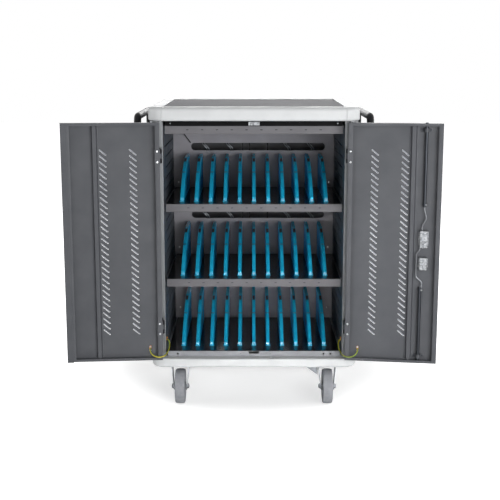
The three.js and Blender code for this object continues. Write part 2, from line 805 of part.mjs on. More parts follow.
// Outside: an escutcheon and a lever that turns about the upper lock case
const escutcheonTop = pivotZ + escutcheonAbovePivot;
const escutcheonFace = doorFrontInset - escutcheonThickness;
const spindleRoom = cylinderY(leverSpindleRadius + clearance, lockX, escutcheonFace - overcut,
  doorFrontInset + overcut, pivotZ);
const escutcheonPlate = alongY(roundedBar(lockX - escutcheonWidth / 2, lockX + escutcheonWidth / 2,
  escutcheonTop - escutcheonHeight, escutcheonTop), escutcheonFace, doorFrontInset - clearance);
hangRight('lock_escutcheon', cut(escutcheonPlate, spindleRoom), 'blackPlastic');

const hubBack = escutcheonFace - clearance;
const leverBack = hubBack - leverHubProud;
const leverFace = leverBack - leverThickness;
const leverBar = alongY(roundedBar(lockX - leverWidth / 2, lockX + leverLength, pivotZ - leverWidth / 2,
  pivotZ + leverWidth / 2), leverFace, leverBack);
const leverHub = cylinderY(leverHubRadius, lockX, leverFace - leverHubProud, hubBack, pivotZ);
const leverSpindle = cylinderY(leverSpindleRadius, lockX, leverFace + leverHubProud,
  doorSkinInner - clearance, pivotZ);
hangRight('swing_handle', join(leverBar, leverHub, leverSpindle), 'blackPlastic');

// Trays: a sheet with a front lip and turned-down edges, notched round the posts
function tray(front, top, lip) {
  const edge = Math.min(lip, traySideFlange);
  const whole = block(-trayHalf, trayHalf, front, trayBack, top - lip, top);
  const hollow = block(-trayHalf + sheet, trayHalf - sheet, front + sheet, trayBack - sheet,
    top - lip - overcut, top - sheet);
  const shallow = block(-trayHalf - overcut, trayHalf + overcut, front + 2 * sheet, trayBack + overcut,
    top - lip - overcut, top - edge);
  const notches = [-1, 1].map((side) => {
    const xs = [side * trayLipHalfWidth, side * (trayHalf + overcut)];
    return block(Math.min(...xs), Math.max(...xs), front - overcut, postBack + clearance,
      top - lip - overcut, top + overcut);
  });
  return cut(whole, hollow, shallow, ...notches);
}

function divider(x, base) {
  const top = base + dividerHeight;
  const back = dividerFront + dividerDepth;
  const shape = new THREE.Shape();
  shape.moveTo(dividerFront, base - sheet / 2);
  shape.lineTo(back, base - sheet / 2);
  shape.lineTo(back, top);
  shape.lineTo(dividerFront + dividerSweep, top);
  shape.quadraticCurveTo(dividerFront + dividerSweepPull, base + dividerSweepRise, dividerFront,
    base + dividerKick);
  const foot = outline([[x - dividerFootWidth / 2, base - sheet / 2],
    [x + dividerFootWidth / 2, base - sheet / 2],
    [x + dividerThickness / 2, base + dividerFootHeight],
    [x - dividerThickness / 2, base + dividerFootHeight]]);
  return [alongX(shape, x - dividerThickness / 2, x + dividerThickness / 2),
    alongY(foot, dividerFront, dividerFront + dividerFootDepth)];
}

function dividerRow(base) {
  return Array.from({ length: bayCount + 1 }, (_, i) => divider((i - bayCount / 2) * bayPitch,
    base)).flat();
}

const headerFace = trayFront + headerSetback;
const header = block(-trayLipHalfWidth + sheet, trayLipHalfWidth - sheet, headerFace, headerFace + sheet,
  ceilingTop - sheet / 2, ceilingTop + headerHeight);
add('ceiling_tray', join(tray(trayFront, ceilingTop, trayLipHeight), header), 'trayPaint');
add('catch_plate', block(-catchWidth / 2, catchWidth / 2, headerFace - catchThickness, headerFace,
  ceilingTop + clearance, ceilingTop + clearance + catchHeight), 'zinc');

// Each shelf is fused with the row of dividers that clips into it
add('shelf_upper', join(tray(trayFront, upperTop, trayLipHeight), ...dividerRow(upperTop)),
  'dividerPlastic');
add('shelf_lower', join(tray(trayFront, lowerTop, trayLipHeight), ...dividerRow(lowerTop)),
  'dividerPlastic');
add('floor_tray', join(tray(floorFront, floorTop, floorTop - baseTop), ...dividerRow(floorTop)),
  'dividerPlastic');

// Inner side sheets with rows of slots that carry the shelves
function supportPlate() {
  const front = postBack + clearance;
  const bottom = baseTop;
  const top = ceilingTop;
  const rows = Math.floor((top - bottom - 2 * supportSlotEndGap) / supportSlotPitch);
  const slots = Array.from({ length: rows }, (_, i) => {
    const z = bottom + supportSlotEndGap + (i + 0.5) * supportSlotPitch;
    return block(supportInner - overcut, supportInner + supportThickness + overcut,
      front + supportSlotEndGap,
      trayBack - supportSlotEndGap, z - supportSlotHeight / 2, z + supportSlotHeight / 2);
  });
  return cut(block(supportInner, supportInner + supportThickness, front, trayBack, bottom, top),
    bundle(slots));
}

add('shelf_support_right', supportPlate(), 'innerPaint');
add('shelf_support_left', mirrored(supportPlate()), 'innerPaint');

// Partition between the shelves and the power bay, with one cable slot above each row of dividers
const shelfBases = { upper: upperTop, middle: lowerTop, lower: floorTop };

function partition() {
  const slots = Object.values(shelfBases).map((base) => alongY(
    roundedBar(-cableSlotHalfWidth, cableSlotHalfWidth, base + cableSlotAboveShelf,
      base + cableSlotAboveShelf + cableSlotHeight), partitionFront - overcut,
        partitionFront + sheet + overcut));
  const plate = block(-supportInner - supportThickness, supportInner + supportThickness, partitionFront,
    partitionFront + sheet, baseTop, ceilingTop);
  return cut(plate, bundle(slots));
}

add('rear_partition', partition(), 'innerPaint');

// Power strips on the back of the partition, with round sockets that face the rear door
function powerStrip(base) {
  const front = partitionFront + sheet;
  const back = front + stripDepth;
  const top = base + cableSlotAboveShelf - stripBelowCableSlot;
  const z = top - stripHeight / 2;
  const body = alongX(outline([[front, top - stripHeight], [back - stripBevel, top - stripHeight],
    [back, top - stripHeight + stripBevel], [back, top - stripBevel], [back - stripBevel, top],
    [front, top]]), -stripLength / 2, stripLength / 2);
  const wells = Array.from({ length: bayCount }, (_, i) => cylinderY(socketRadius,
    (i - (bayCount - 1) / 2) * socketPitch, back - socketDepth, back + overcut, z, socketFacets));
  return cut(body, bundle(wells));
}

for (const [level, base] of Object.entries(shelfBases)) {
  add(`power_strip_${level}`, powerStrip(base), 'blackPlastic');
}

// Mains inlet in the middle of the rear base rail
function mainsInlet() {
  const face = bodyDepth + inletFlange;
  const flange = alongY(roundedBar(-inletWidth / 2, inletWidth / 2, inletZ - inletHeight / 2,
    inletZ + inletHeight / 2), bodyDepth + clearance, face);
  const body = block(-inletBodyHalf, inletBodyHalf, face - inletDepth, face - inletFlange / 2,
    inletZ - inletBodyRise, inletZ + inletBodyRise);
  const pocket = block(-inletPocketWidth / 2, inletPocketWidth / 2, face - inletPocket, face + overcut,
    inletZ - inletPocketHeight / 2, inletZ + inletPocketHeight / 2);
  return cut(join(flange, body), pocket);
}

add('mains_inlet', mainsInlet(), 'blackPlastic');

// Rear door: one wide pan with its hinge leaf, and a cam lock at its free edge
const rearLockX = -doorEdge + rearLockFromEdge;

function rearDoor() {
  const slots = slotField(rearSlotColumnsFromHinge.map((fromHinge) => doorEdge - fromHinge),
    rearSlotsPerColumn, rearSlotsMiddle);
  const lockHole = cylinderY(rearLockRadius + rearLockPlay, rearLockX, doorFrontInset - overcut,
    doorSkinInner + overcut, rearLockHeight);
  const leaf = hingeDoorHalf(rearHingeHeight, -doorSheet / 2).translate(hingeX, hingeY, doorMiddle);
  return join(cut(doorPan(-doorEdge, [[doorMiddle, rearHingeHeight]]), slots, lockHole), leaf);
}

function rearLock() {
  const camFace = doorBack + camSetback;
  const face = doorFrontInset - rearLockHead;
  const barrel = cylinderY(rearLockRadius, rearLockX, face + rearLockHead / 2,
    camFace + camThickness + camProud, rearLockHeight);
  const head = cylinderY(rearLockHeadRadius, rearLockX, face, doorFrontInset - clearance, rearLockHeight);
  const cam = block(rearLockX - camWidth / 2, rearLockX + camWidth / 2, camFace, camFace + camThickness,
    rearLockHeight - camLength, rearLockHeight + camWidth / 2);
  const keyway = block(rearLockX - keywayWidth / 2, rearLockX + keywayWidth / 2, face - overcut,
    face + rearLockHead / 2, rearLockHeight - keywayHeight / 2, rearLockHeight + keywayHeight / 2);
  return cut(join(barrel, head, cam), keyway);
}

add('rear_door', turnedToRear(rearDoor()), 'panelPaint');
add('rear_lock', turnedToRear(rearLock()), 'zinc');

// Side panels with two banks of vents and turned-in edges
const panelFace = halfWidth - sidePanelInset;

function sidePanel() {
  const front = postBack + clearance;
  const back = bodyDepth - front;
  const whole = block(panelFace - sideFlange, panelFace, front, back, baseTop, capBottom);
  const hollow = block(panelFace - sideFlange - overcut, panelFace - sheet, front + sheet, back - sheet,
    baseTop - overcut, capBottom + overcut);
  const vents = ventCentres.flatMap((centre) => Array.from({ length: ventRows }, (_, i) => {
    const z = centre + (i - (ventRows - 1) / 2) * ventPitch;
    return block(panelFace - sheet - overcut, panelFace + overcut, midDepth - ventLength / 2,
      midDepth + ventLength / 2, z - ventHeight / 2, z + ventHeight / 2);
  }));
  return cut(whole, hollow, bundle(vents));
}

add('side_panel_right', sidePanel(), 'panelPaint');
add('side_panel_left', mirrored(sidePanel()), 'panelPaint');

// Push handles: one bent tube along each side, on round feet
function bentPath(corners, bend) {
  const path = new THREE.CurvePath();
  let from = vector(corners[0]);
  for (let i = 1; i < corners.length - 1; i += 1) {
    const corner = vector(corners[i]);
    const before = vector(corners[i - 1]).sub(corner).setLength(bend).add(corner);
    const after = vector(corners[i + 1]).sub(corner).setLength(bend).add(corner);
    path.add(new THREE.LineCurve3(from, before));
    path.add(new THREE.QuadraticBezierCurve3(before, corner, after));
    from = after;
  }
  path.add(new THREE.LineCurve3(from, vector(corners.at(-1))));
  return path;
}

function pushHandle() {
  const gripX = halfWidth + handleReach;
  const legs = [handleFrontLeg, handleRearLeg];
  const rail = bentPath([
    [panelFace, handleFrontLeg, handleFootHeight], [gripX, handleFrontLeg, handleFootHeight],
    [gripX, handleFrontLeg, handleGripHeight], [gripX, handleRearLeg, handleGripHeight],
    [gripX, handleRearLeg, handleFootHeight], [panelFace, handleRearLeg, handleFootHeight]], handleBend);
  const feet = legs.map((y) => cylinderX(handleFootRadius, panelFace, panelFace + handleFootThickness, y,
    handleFootHeight, knuckleFacets));
  return join(tube(rail, handleRadius, handleFacets, handleSteps), ...feet);
}

add('push_handle_right', pushHandle(), 'blackPlastic');
add('push_handle_left', mirrored(pushHandle()), 'blackPlastic');

// Casters: a pressed swivel fork with its axle, and a wheel that stands on one of its facets
const axleHeight = wheelRadius * Math.cos(Math.PI / wheelFacets);
const forkInner = wheelWidth / 2 + forkGap;
const forkOuter = forkInner + forkSheet;
const forkTop = casterHeight - clearance;
const forkCrown = forkTop - forkHeadHeight;

function casterFork() {
  const head = turned([[0, forkCrown], [forkHeadRadius - forkSheet, forkCrown],
    [forkHeadRadius, forkCrown + forkSheet], [forkHeadRadius, forkTop], [0, forkTop]], knuckleFacets);
  const side = new THREE.Shape();
  side.moveTo(forkTopHalf, forkCrown);
  side.lineTo(-forkTopHalf, forkCrown);
  side.lineTo(-casterTrail - forkEyeRadius, axleHeight);
  side.absarc(-casterTrail, axleHeight, forkEyeRadius, Math.PI, 2 * Math.PI);
  const splay = forkSplay / (forkCrown - axleHeight);
  const legs = [-1, 1].map((sign) => alongX(side, Math.min(sign * forkInner, sign * forkOuter),
    Math.max(sign * forkInner, sign * forkOuter)).translate(0, 0, -axleHeight)
    .applyMatrix4(new THREE.Matrix4().makeShear(0, 0, 0, 0, sign * splay, 0))
    .translate(0, 0, axleHeight));
  const crownHalf = forkOuter + forkSplay;
  const crown = block(-crownHalf, crownHalf, -forkTopHalf, forkTopHalf, forkCrown - forkSheet,
    forkCrown + forkSheet / 2);
  const axleEnd = forkOuter + axleNutLength + axleProud;
  const axle = cylinderX(axleRadius, -axleEnd, axleEnd, -casterTrail, axleHeight, pinFacets);
  const nuts = [-forkOuter - axleNutLength, forkOuter].map((x) => cylinderX(axleNutRadius, x,
    x + axleNutLength, -casterTrail, axleHeight, nutFacets));
  return join(head, crown, ...legs, axle, ...nuts);
}

function casterWheel() {
  const half = wheelWidth / 2;
  const hub = half + hubOverhang;
  const rim = wheelRadius - tyreDepth;
  const bore = axleRadius + axleClearance;
  const upper = [[wheelRadius, half - treadRadius], [wheelRadius - treadRadius, half],
    [rim, half - webDepth], [hubRadius, hub], [bore, hub]];
  const lower = upper.map(([r, x]) => [r, -x]).reverse();
  return turned([...lower, ...upper, lower[0]], wheelFacets)
    .rotateY(Math.PI / 2)
    .rotateX(Math.PI / wheelFacets)
    .translate(0, -casterTrail, axleHeight);
}

// Foot pedal of a braked caster: a pressed channel on the inboard leg
function brakeLever() {
  const inner = -forkOuter - forkSplay - clearance;
  const top = casterHeight - brakeTopGap;
  const wedge = (inset, rise) => outline([[inner - inset, top - brakeDrop + inset],
    [inner - inset, top + rise],
    [inner - brakeReach + inset, top + rise], [inner - brakeReach + inset, top - inset]]);
  const half = brakeWidth / 2;
  return cut(alongY(wedge(0, 0), -half, half),
    alongY(wedge(brakeSheet, overcut), -half + brakeSheet, half - brakeSheet));
}

const casterPlaces = [
  ['front_right', 1, casterFrontInset, true], ['front_left', -1, casterFrontInset, false],
  ['rear_right', 1, bodyDepth - casterFrontInset, true],
  ['rear_left', -1, bodyDepth - casterFrontInset, false],
];
for (const [name, sx, y, braked] of casterPlaces) {
  const caster = new THREE.Group();
  caster.position.set(sx * (halfWidth - casterInset), y, 0);
  cart.add(caster);
  add(`caster_fork_${name}`, casterFork(), 'forkSteel', caster);
  add(`caster_wheel_${name}`, casterWheel(), 'wheelRubber', caster);
  if (braked) add(`brake_lever_${name}`, brakeLever(), 'forkSteel', caster);
}

// Earth wires that loop from each open door round its hinge edge to the post
const earthWire = tube(new THREE.CatmullRomCurve3(earthWirePoints.map(vector)), earthWireRadius,
  earthWireFacets, earthWireSteps);
add('earth_wire_right', earthWire, 'earthWire');
add('earth_wire_left', mirrored(earthWire), 'earthWire');

// The origin is under the middle of the whole object with its doors open
function doorReach(opening, freeX, backY) {
  const angle = radians(opening);
  return hingeY + (freeX - hingeX) * Math.sin(angle) + (backY - hingeY) * Math.cos(angle);
}

const frontReach = Math.min(doorReach(rightDoorOpening, freeEdge, doorBack),
  doorReach(leftDoorOpening, freeEdge - overlapStripReach, doorBack + clearance + overlapStripThickness));
const backReach = bodyDepth + inletFlange;
cart.position.y = -(frontReach + backReach) / 2;

export default cart;
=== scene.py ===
"""Looks of a laptop charging cart: painted sheet-steel cabinet, slotted doors, rows of blue dividers.

Everything is drawn in the millimetres of the cart's own drawing, with its doors shut: X to the right,
Y from the front of the top rail towards the back, Z up. settle() takes it to the frame's metres and
swings what hangs on a door to the door's resting place.
"""
import math

import bmesh
import bpy
from mathutils import Matrix, Vector


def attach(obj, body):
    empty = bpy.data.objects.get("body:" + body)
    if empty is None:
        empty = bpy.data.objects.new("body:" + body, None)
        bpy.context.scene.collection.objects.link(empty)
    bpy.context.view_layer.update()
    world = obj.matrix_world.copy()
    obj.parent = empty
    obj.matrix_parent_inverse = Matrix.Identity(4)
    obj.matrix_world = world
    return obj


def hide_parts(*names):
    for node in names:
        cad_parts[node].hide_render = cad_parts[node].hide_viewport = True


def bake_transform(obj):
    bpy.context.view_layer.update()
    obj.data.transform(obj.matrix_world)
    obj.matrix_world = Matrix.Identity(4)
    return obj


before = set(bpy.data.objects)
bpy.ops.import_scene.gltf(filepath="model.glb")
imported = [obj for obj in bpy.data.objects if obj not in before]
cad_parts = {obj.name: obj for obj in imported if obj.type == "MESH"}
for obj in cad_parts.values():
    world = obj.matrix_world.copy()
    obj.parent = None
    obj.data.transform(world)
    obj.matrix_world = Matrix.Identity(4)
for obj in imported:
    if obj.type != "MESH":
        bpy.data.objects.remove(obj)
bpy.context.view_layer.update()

MM = 0.001
CART_FRONT = -288.72865
HINGE_X, HINGE_Y = 309.0, 3.0
RIGHT_OPENING, LEFT_OPENING = math.radians(172), math.radians(-175)
BODY_HALF, BODY_DEPTH, BODY_TOP = 350.0, 640.0, 1035.0
CAP_BOTTOM, BASE_BOTTOM, BASE_TOP = 990.0, 150.0, 182.0
RAIL = 46.0
DOOR_BOTTOM, DOOR_TOP, DOOR_EDGE = 185.0, 986.0, 307.0
DOOR_FACE, DOOR_BACK, FREE_EDGE = 5.0, 29.0, 1.5
HINGE_LEVELS = (876.0, 295.0)
SHEET = 1.6
SHELF_TOPS = {"upper": 710.0, "middle": 452.0, "lower": 200.0}
BAYS, BAY_PITCH = 10, 49.2


# Camera, fitted to the photograph's perspective
camera_data = bpy.data.cameras.new("camera")
camera_data.lens = 74.16
camera_data.sensor_width = 36.0
camera_data.clip_end = 60.0
camera = bpy.data.objects.new("camera", camera_data)
bpy.context.scene.collection.objects.link(camera)
camera.location = (-0.0070, -3.6741, 1.2141)
camera.rotation_euler = (math.radians(90 - 10.914), 0, math.radians(0.105))
bpy.context.scene.camera = camera
bpy.context.scene.view_settings.view_transform = "Standard"


# Finishes
def to_linear(hex_colour):
    """An sRGB hex colour as linear RGBA."""
    parts = [int(hex_colour[i:i + 2], 16) / 255 for i in (1, 3, 5)]
    return [c / 12.92 if c <= 0.04045 else ((c + 0.055) / 1.055) ** 2.4 for c in parts] + [1.0]


def add_node(tree, kind, inputs=None, **settings):
    """A node with its settings; an input is a value or the socket that feeds it."""
    made = tree.nodes.new(kind)
    for key, value in settings.items():
        setattr(made, key, value)
    for key, value in (inputs or {}).items():
        if isinstance(value, bpy.types.NodeSocket):
            tree.links.new(value, made.inputs[key])
        else:
            made.inputs[key].default_value = value
    return made


def per_metre(size_mm):
    """The texture scale at which a pattern repeats about every size_mm."""
    return 1000.0 / size_mm


def new_finish(name, **sockets):
    """A material with its shader; constants go straight on the shader's sockets."""
    material = bpy.data.materials.new(name)
    material.use_nodes = True
    tree = material.node_tree
    shader = tree.nodes["Principled BSDF"]
    for key, value in sockets.items():
        shader.inputs[key.replace("_", " ")].default_value = value
    return material, tree, shader


def blotches(tree, place, size_mm, low, high, detail=2.0):
    """Soft noise of a real size, spread from low to high."""
    noise = add_node(tree, "ShaderNodeTexNoise", {"Vector": place, "Scale": per_metre(size_mm), "Detail": detail})
    return add_node(tree, "ShaderNodeMapRange", {"Value": noise.outputs["Fac"], "From Min": 0.3, "From Max": 0.7,
                                                 "To Min": low, "To Max": high}).outputs["Result"]


def tinted(tree, amount, dark, light):
    """A colour between two hex colours."""
    mix = add_node(tree, "ShaderNodeMix", {"Factor": amount}, data_type="RGBA")
    mix.inputs[6].default_value = to_linear(dark)
    mix.inputs[7].default_value = to_linear(light)
    return mix.outputs[2]


def raise_grain(tree, shader, place, size_mm, depth_mm, detail=1.0):
    """Surface grain as a bump of a real size and depth."""
    noise = add_node(tree, "ShaderNodeTexNoise", {"Vector": place, "Scale": per_metre(size_mm), "Detail": detail})
    bump = add_node(tree, "ShaderNodeBump", {"Height": noise.outputs["Fac"], "Distance": depth_mm * MM,
                                             "Strength": 1.0})
    tree.links.new(bump.outputs["Normal"], shader.inputs["Normal"])


def powder_coat(name, dark, light, rough_low, rough_high, orange_peel=2.2):
    """Baked powder paint on sheet steel: matt, even, with a faint orange peel and soft hand marks.
    The peel is really about 0.8 mm, and is drawn coarser so that it shows."""
    material, tree, shader = new_finish(name, IOR=1.5)
    place = add_node(tree, "ShaderNodeTexCoord").outputs["Object"]
    tree.links.new(tinted(tree, blotches(tree, place, 55, 0, 1, 4), dark, light), shader.inputs["Base Color"])
    tree.links.new(blotches(tree, place, 90, rough_low, rough_high, 3), shader.inputs["Roughness"])
    raise_grain(tree, shader, place, orange_peel, 0.05)
    return material


def moulded_plastic(name, dark, light, rough_low, rough_high, grain, depth, gloss=0.5):
    """Injection-moulded plastic: even colour, a spark-eroded grain and slightly uneven gloss."""
    material, tree, shader = new_finish(name, IOR=1.5, Specular_IOR_Level=gloss)
    place = add_node(tree, "ShaderNodeTexCoord").outputs["Object"]
    tree.links.new(tinted(tree, blotches(tree, place, 35, 0, 1, 3), dark, light), shader.inputs["Base Color"])
    tree.links.new(blotches(tree, place, 28, rough_low, rough_high, 3), shader.inputs["Roughness"])
    raise_grain(tree, shader, place, grain, depth)
    return material


def drawn_metal(name, dark, light, rough_low, rough_high, stretch, streak):
    """Bare or plated metal with the fine lines of drawing or rolling along one axis."""
    material, tree, shader = new_finish(name, Metallic=1.0)
    place = add_node(tree, "ShaderNodeTexCoord").outputs["Object"]
    along = add_node(tree, "ShaderNodeMapping", {"Vector": place, "Scale": stretch}).outputs["Vector"]
    tree.links.new(tinted(tree, blotches(tree, along, streak, 0, 1, 3), dark, light), shader.inputs["Base Color"])
    tree.links.new(blotches(tree, along, 2 * streak, rough_low, rough_high, 2), shader.inputs["Roughness"])
    raise_grain(tree, shader, along, streak, 0.02)
    return material


def zinc_plate(name, dark, light, rough_low, rough_high):
    """Bright zinc on pressed steel: pale metal with small cloudy spangles."""
    material, tree, shader = new_finish(name, Metallic=1.0)
    place = add_node(tree, "ShaderNodeTexCoord").outputs["Object"]
    spangle = add_node(tree, "ShaderNodeTexVoronoi", {"Vector": place, "Scale": per_metre(5)}).outputs["Color"]
    grey = add_node(tree, "ShaderNodeRGBToBW", {"Color": spangle}).outputs["Val"]
    tree.links.new(tinted(tree, grey, dark, light), shader.inputs["Base Color"])
    tree.links.new(blotches(tree, place, 9, rough_low, rough_high, 3), shader.inputs["Roughness"])
    return material


def textured_laminate(name, dark, light):
    """Pressure laminate on the top: fine pebbled grain with a speckle, drawn at 3 mm so that it shows."""
    material, tree, shader = new_finish(name, IOR=1.5, Specular_IOR_Level=0.2)
    place = add_node(tree, "ShaderNodeTexCoord").outputs["Object"]
    tree.links.new(tinted(tree, blotches(tree, place, 3, 0, 1, 4), dark, light), shader.inputs["Base Color"])
    tree.links.new(blotches(tree, place, 60, 0.7, 0.8, 3), shader.inputs["Roughness"])
    raise_grain(tree, shader, place, 3, 0.06, 3)
    return material


def rubber_tread(name, dark, light):
    """Grey non-marking rubber: dull, with dust rubbed into it."""
    material, tree, shader = new_finish(name, IOR=1.52)
    place = add_node(tree, "ShaderNodeTexCoord").outputs["Object"]
    tree.links.new(tinted(tree, blotches(tree, place, 12, 0, 1, 5), dark, light), shader.inputs["Base Color"])
    tree.links.new(blotches(tree, place, 8, 0.62, 0.85, 3), shader.inputs["Roughness"])
    raise_grain(tree, shader, place, 1.5, 0.08, 3)
    return material


def striped_sleeve(name, ground, stripe):
    """Soft PVC wire sleeve: two long stripes of the second colour, laid along the wire by its UV map."""
    material, tree, shader = new_finish(name, Roughness=0.42, IOR=1.53)
    around = add_node(tree, "ShaderNodeUVMap", uv_map="UVMap").outputs["UV"]
    split = add_node(tree, "ShaderNodeSeparateXYZ", {"Vector": around})
    wave = add_node(tree, "ShaderNodeMath", {0: split.outputs["Y"], 1: 2 * math.pi}, operation="MULTIPLY")
    swing = add_node(tree, "ShaderNodeMath", {0: wave.outputs[0]}, operation="SINE")
    edge = add_node(tree, "ShaderNodeMapRange", {"Value": swing.outputs[0], "From Min": 0.15, "From Max": 0.35})
    tree.links.new(tinted(tree, edge.outputs["Result"], ground, stripe), shader.inputs["Base Color"])
    return material


RAIL_PAINT = powder_coat("light grey powder coat", "#ced0d1", "#d5d7d8", 0.42, 0.54)
DOOR_PAINT = powder_coat("anthracite powder coat", "#46484d", "#4d4f54", 0.5, 0.62)
PANEL_PAINT = powder_coat("anthracite panel coat", "#46474b", "#4d4e52", 0.5, 0.62)
TRAY_PAINT = powder_coat("mid grey powder coat", "#5c5b5f", "#646367", 0.5, 0.6)
# The louvre lips' pale coat is painted light: it stands for light seen through the door slots.
LOUVRE_PAINTED_LIGHT = powder_coat("louvre coat painted pale as light through slots", "#b0b3bb", "#b9bcc4", 0.4, 0.5)
INNER_PAINT = powder_coat("mid grey inner coat", "#87858b", "#918f95", 0.45, 0.6)
SILL_PAINT = powder_coat("pale grey sill coat", "#8a8c90", "#939599", 0.45, 0.6)
RACK_PAINT = powder_coat("blue-grey rack coat", "#454a51", "#4d5259", 0.45, 0.6)
LINER = moulded_plastic("black shelf liner", "#0a0a0c", "#0f0f11", 0.14, 0.22, 6, 0.02, 0.3)
HEADER_BLACK = moulded_plastic("black header foil", "#0a0a0b", "#0e0e10", 0.55, 0.7, 2, 0.02, 0.08)
TOP_LAMINATE = textured_laminate("grey pebbled laminate", "#525357", "#66676b")
POST_METAL = drawn_metal("grey anodised aluminium", "#737577", "#818385", 0.36, 0.5, (1, 1, 0.02), 1.6)
BLUE_ABS = moulded_plastic("blue moulded ABS", "#149ac2", "#23b0d8", 0.14, 0.24, 1.6, 0.02)
# A lighter copy of the blue ABS: painted light on the dividers' side faces.
PAINTED_LIGHT_ABS = moulded_plastic("blue ABS painted lighter as side light", "#12c0ee", "#2ad4ff", 0.3, 0.42, 1.6, 0.02)
# A darker copy of the blue ABS: painted shade in the dividers' recesses and across their fronts.
PAINTED_SHADE_ABS = moulded_plastic("dark blue ABS painted as shade", "#0a5878", "#0e6a8e", 0.3, 0.42, 1.6, 0.02)
STRIP_PLASTIC = moulded_plastic("charcoal strip housing", "#2b2b2f", "#343438", 0.42, 0.56, 1.4, 0.05, 0.2)
BLACK_NYLON = moulded_plastic("black moulded nylon", "#17171a", "#1f1f22", 0.42, 0.56, 1.4, 0.05, 0.15)
HUB_PLASTIC = moulded_plastic("grey wheel plastic", "#6f7175", "#7a7c80", 0.4, 0.55, 1.8, 0.03)
ZINC = zinc_plate("bright zinc plate", "#b4b6b9", "#cfd1d3", 0.22, 0.4)
CAST_ZINC = zinc_plate("cast zinc case", "#5e6063", "#aaacaf", 0.44, 0.6)
FORK_ZINC = zinc_plate("dull zinc pressing", "#7f8286", "#96999d", 0.36, 0.52)
ROD_STEEL = drawn_metal("dark drawn steel", "#393b40", "#474a4f", 0.36, 0.5, (1, 1, 0.02), 1.2)
LINK_WIRE = drawn_metal("drawn link wire", "#7b7d81", "#8d8f93", 0.34, 0.48, (1, 1, 0.02), 1.2)
TREAD = rubber_tread("grey rubber tread", "#86888d", "#95979c")
SLEEVE = striped_sleeve("green and yellow sleeve", "#6f8f2a", "#dcc92f")
BRASS = drawn_metal("brass contact", "#a98747", "#c3a05c", 0.3, 0.45, (1, 1, 1), 2.0)
COPPER_LUG = drawn_metal("tinned copper lug", "#b0713f", "#c98c58", 0.3, 0.45, (1, 1, 1), 2.0)


# Drawing tools, all in millimetres
def slab(bm, x0, x1, y0, y1, z0, z1):
    """A box between its faces."""
    middle = Matrix.Translation(((x0 + x1) / 2, (y0 + y1) / 2, (z0 + z1) / 2))
    size = Matrix.Diagonal((x1 - x0, y1 - y0, z1 - z0, 1))
    return bmesh.ops.create_cube(bm, size=1.0, matrix=middle @ size)["verts"]


def aim(start, end):
    """Takes the Z axis onto the line from start to end, centred on it."""
    start, end = Vector(start), Vector(end)
    turn = Vector((0, 0, 1)).rotation_difference(end - start).to_matrix().to_4x4()
    return Matrix.Translation((start + end) / 2) @ turn


def bar(bm, start, end, radius, tip=None, facets=20):
    """A round bar from start to end, which may taper to another radius."""
    length = (Vector(end) - Vector(start)).length
    return bmesh.ops.create_cone(bm, cap_ends=True, segments=facets, radius1=radius,
                                 radius2=radius if tip is None else tip, depth=length,
                                 matrix=aim(start, end))["verts"]


def run(bm, ring, push):
    """A flat ring of points filled and pushed out to a solid."""
    face = bm.faces.new([bm.verts.new(p) for p in ring])
    grown = bmesh.ops.extrude_face_region(bm, geom=[face], use_keep_orig=True)["geom"]
    verts = [v for v in grown if isinstance(v, bmesh.types.BMVert)]
    bmesh.ops.translate(bm, verts=verts, vec=push)
    return list(face.verts) + verts


def lathe(bm, profile, centre, axis, facets=32):
    """A profile of (radius, height) pairs spun about an axis through centre."""
    turn = Vector((0, 0, 1)).rotation_difference(Vector(axis)).to_matrix().to_4x4()
    place = Matrix.Translation(centre) @ turn
    verts = [bm.verts.new(place @ Vector((r, 0, h))) for r, h in profile]
    edges = [bm.edges.new(pair) for pair in zip(verts, verts[1:])]
    made = bmesh.ops.spin(bm, geom=verts + edges, cent=centre, axis=axis, angle=2 * math.pi, steps=facets,
                          use_merge=True, use_duplicate=False)
    return made


def rect(u0, u1, v0, v1):
    return [(u0, v0), (u1, v0), (u1, v1), (u0, v1)]


def long_hole(u, v, length, width, tilt=0.0, steps=4):
    """A slot with round ends, leaning by tilt."""
    reach, radius, ring = (length - width) / 2, width / 2, []
    for end in (0, 1):
        for i in range(steps + 1):
            angle = math.pi * (end - 0.5 + i / steps)
            ring.append(((reach if end == 0 else -reach) + radius * math.cos(angle), radius * math.sin(angle)))
    cos, sin = math.cos(tilt), math.sin(tilt)
    return [(u + a * cos - b * sin, v + a * sin + b * cos) for a, b in ring]


def round_hole(u, v, radius, steps=16):
    return [(u + radius * math.cos(2 * math.pi * i / steps), v + radius * math.sin(2 * math.pi * i / steps))
            for i in range(steps)]


def round_corners(u0, u1, v0, v1, radius, steps=5):
    """A rectangle with rounded corners."""
    ring = []
    for quarter, (u, v) in enumerate([(u1 - radius, v0 + radius), (u1 - radius, v1 - radius),
                                      (u0 + radius, v1 - radius), (u0 + radius, v0 + radius)]):
        for i in range(steps + 1):
            angle = (quarter - 1 + i / steps) * math.pi / 2
            ring.append((u + radius * math.cos(angle), v + radius * math.sin(angle)))
    return ring


def on(axis, level, ring):
    """A flat ring lifted onto the plane where axis is level."""
    lift = {"x": lambda u, v: (level, u, v), "y": lambda u, v: (u, level, v), "z": lambda u, v: (u, v, level)}
    return [lift[axis](u, v) for u, v in ring]


def wall(bm, axis, level, rim, holes=()):
    """One flat wall of a folded sheet, with its holes."""
    edges = []
    for ring in (rim, *holes):
        verts = [bm.verts.new(p) for p in on(axis, level, ring)]
        edges += [bm.edges.new(pair) for pair in zip(verts, verts[1:] + verts[:1])]
    bmesh.ops.triangle_fill(bm, use_beauty=True, use_dissolve=False, edges=edges)


def skirt(bm, axis, start, end, ring):
    """The upright wall between two levels of one ring."""
    low, high = [[bm.verts.new(p) for p in on(axis, level, ring)] for level in (start, end)]
    for i in range(len(ring)):
        bm.faces.new((low[i - 1], low[i], high[i], high[i - 1]))


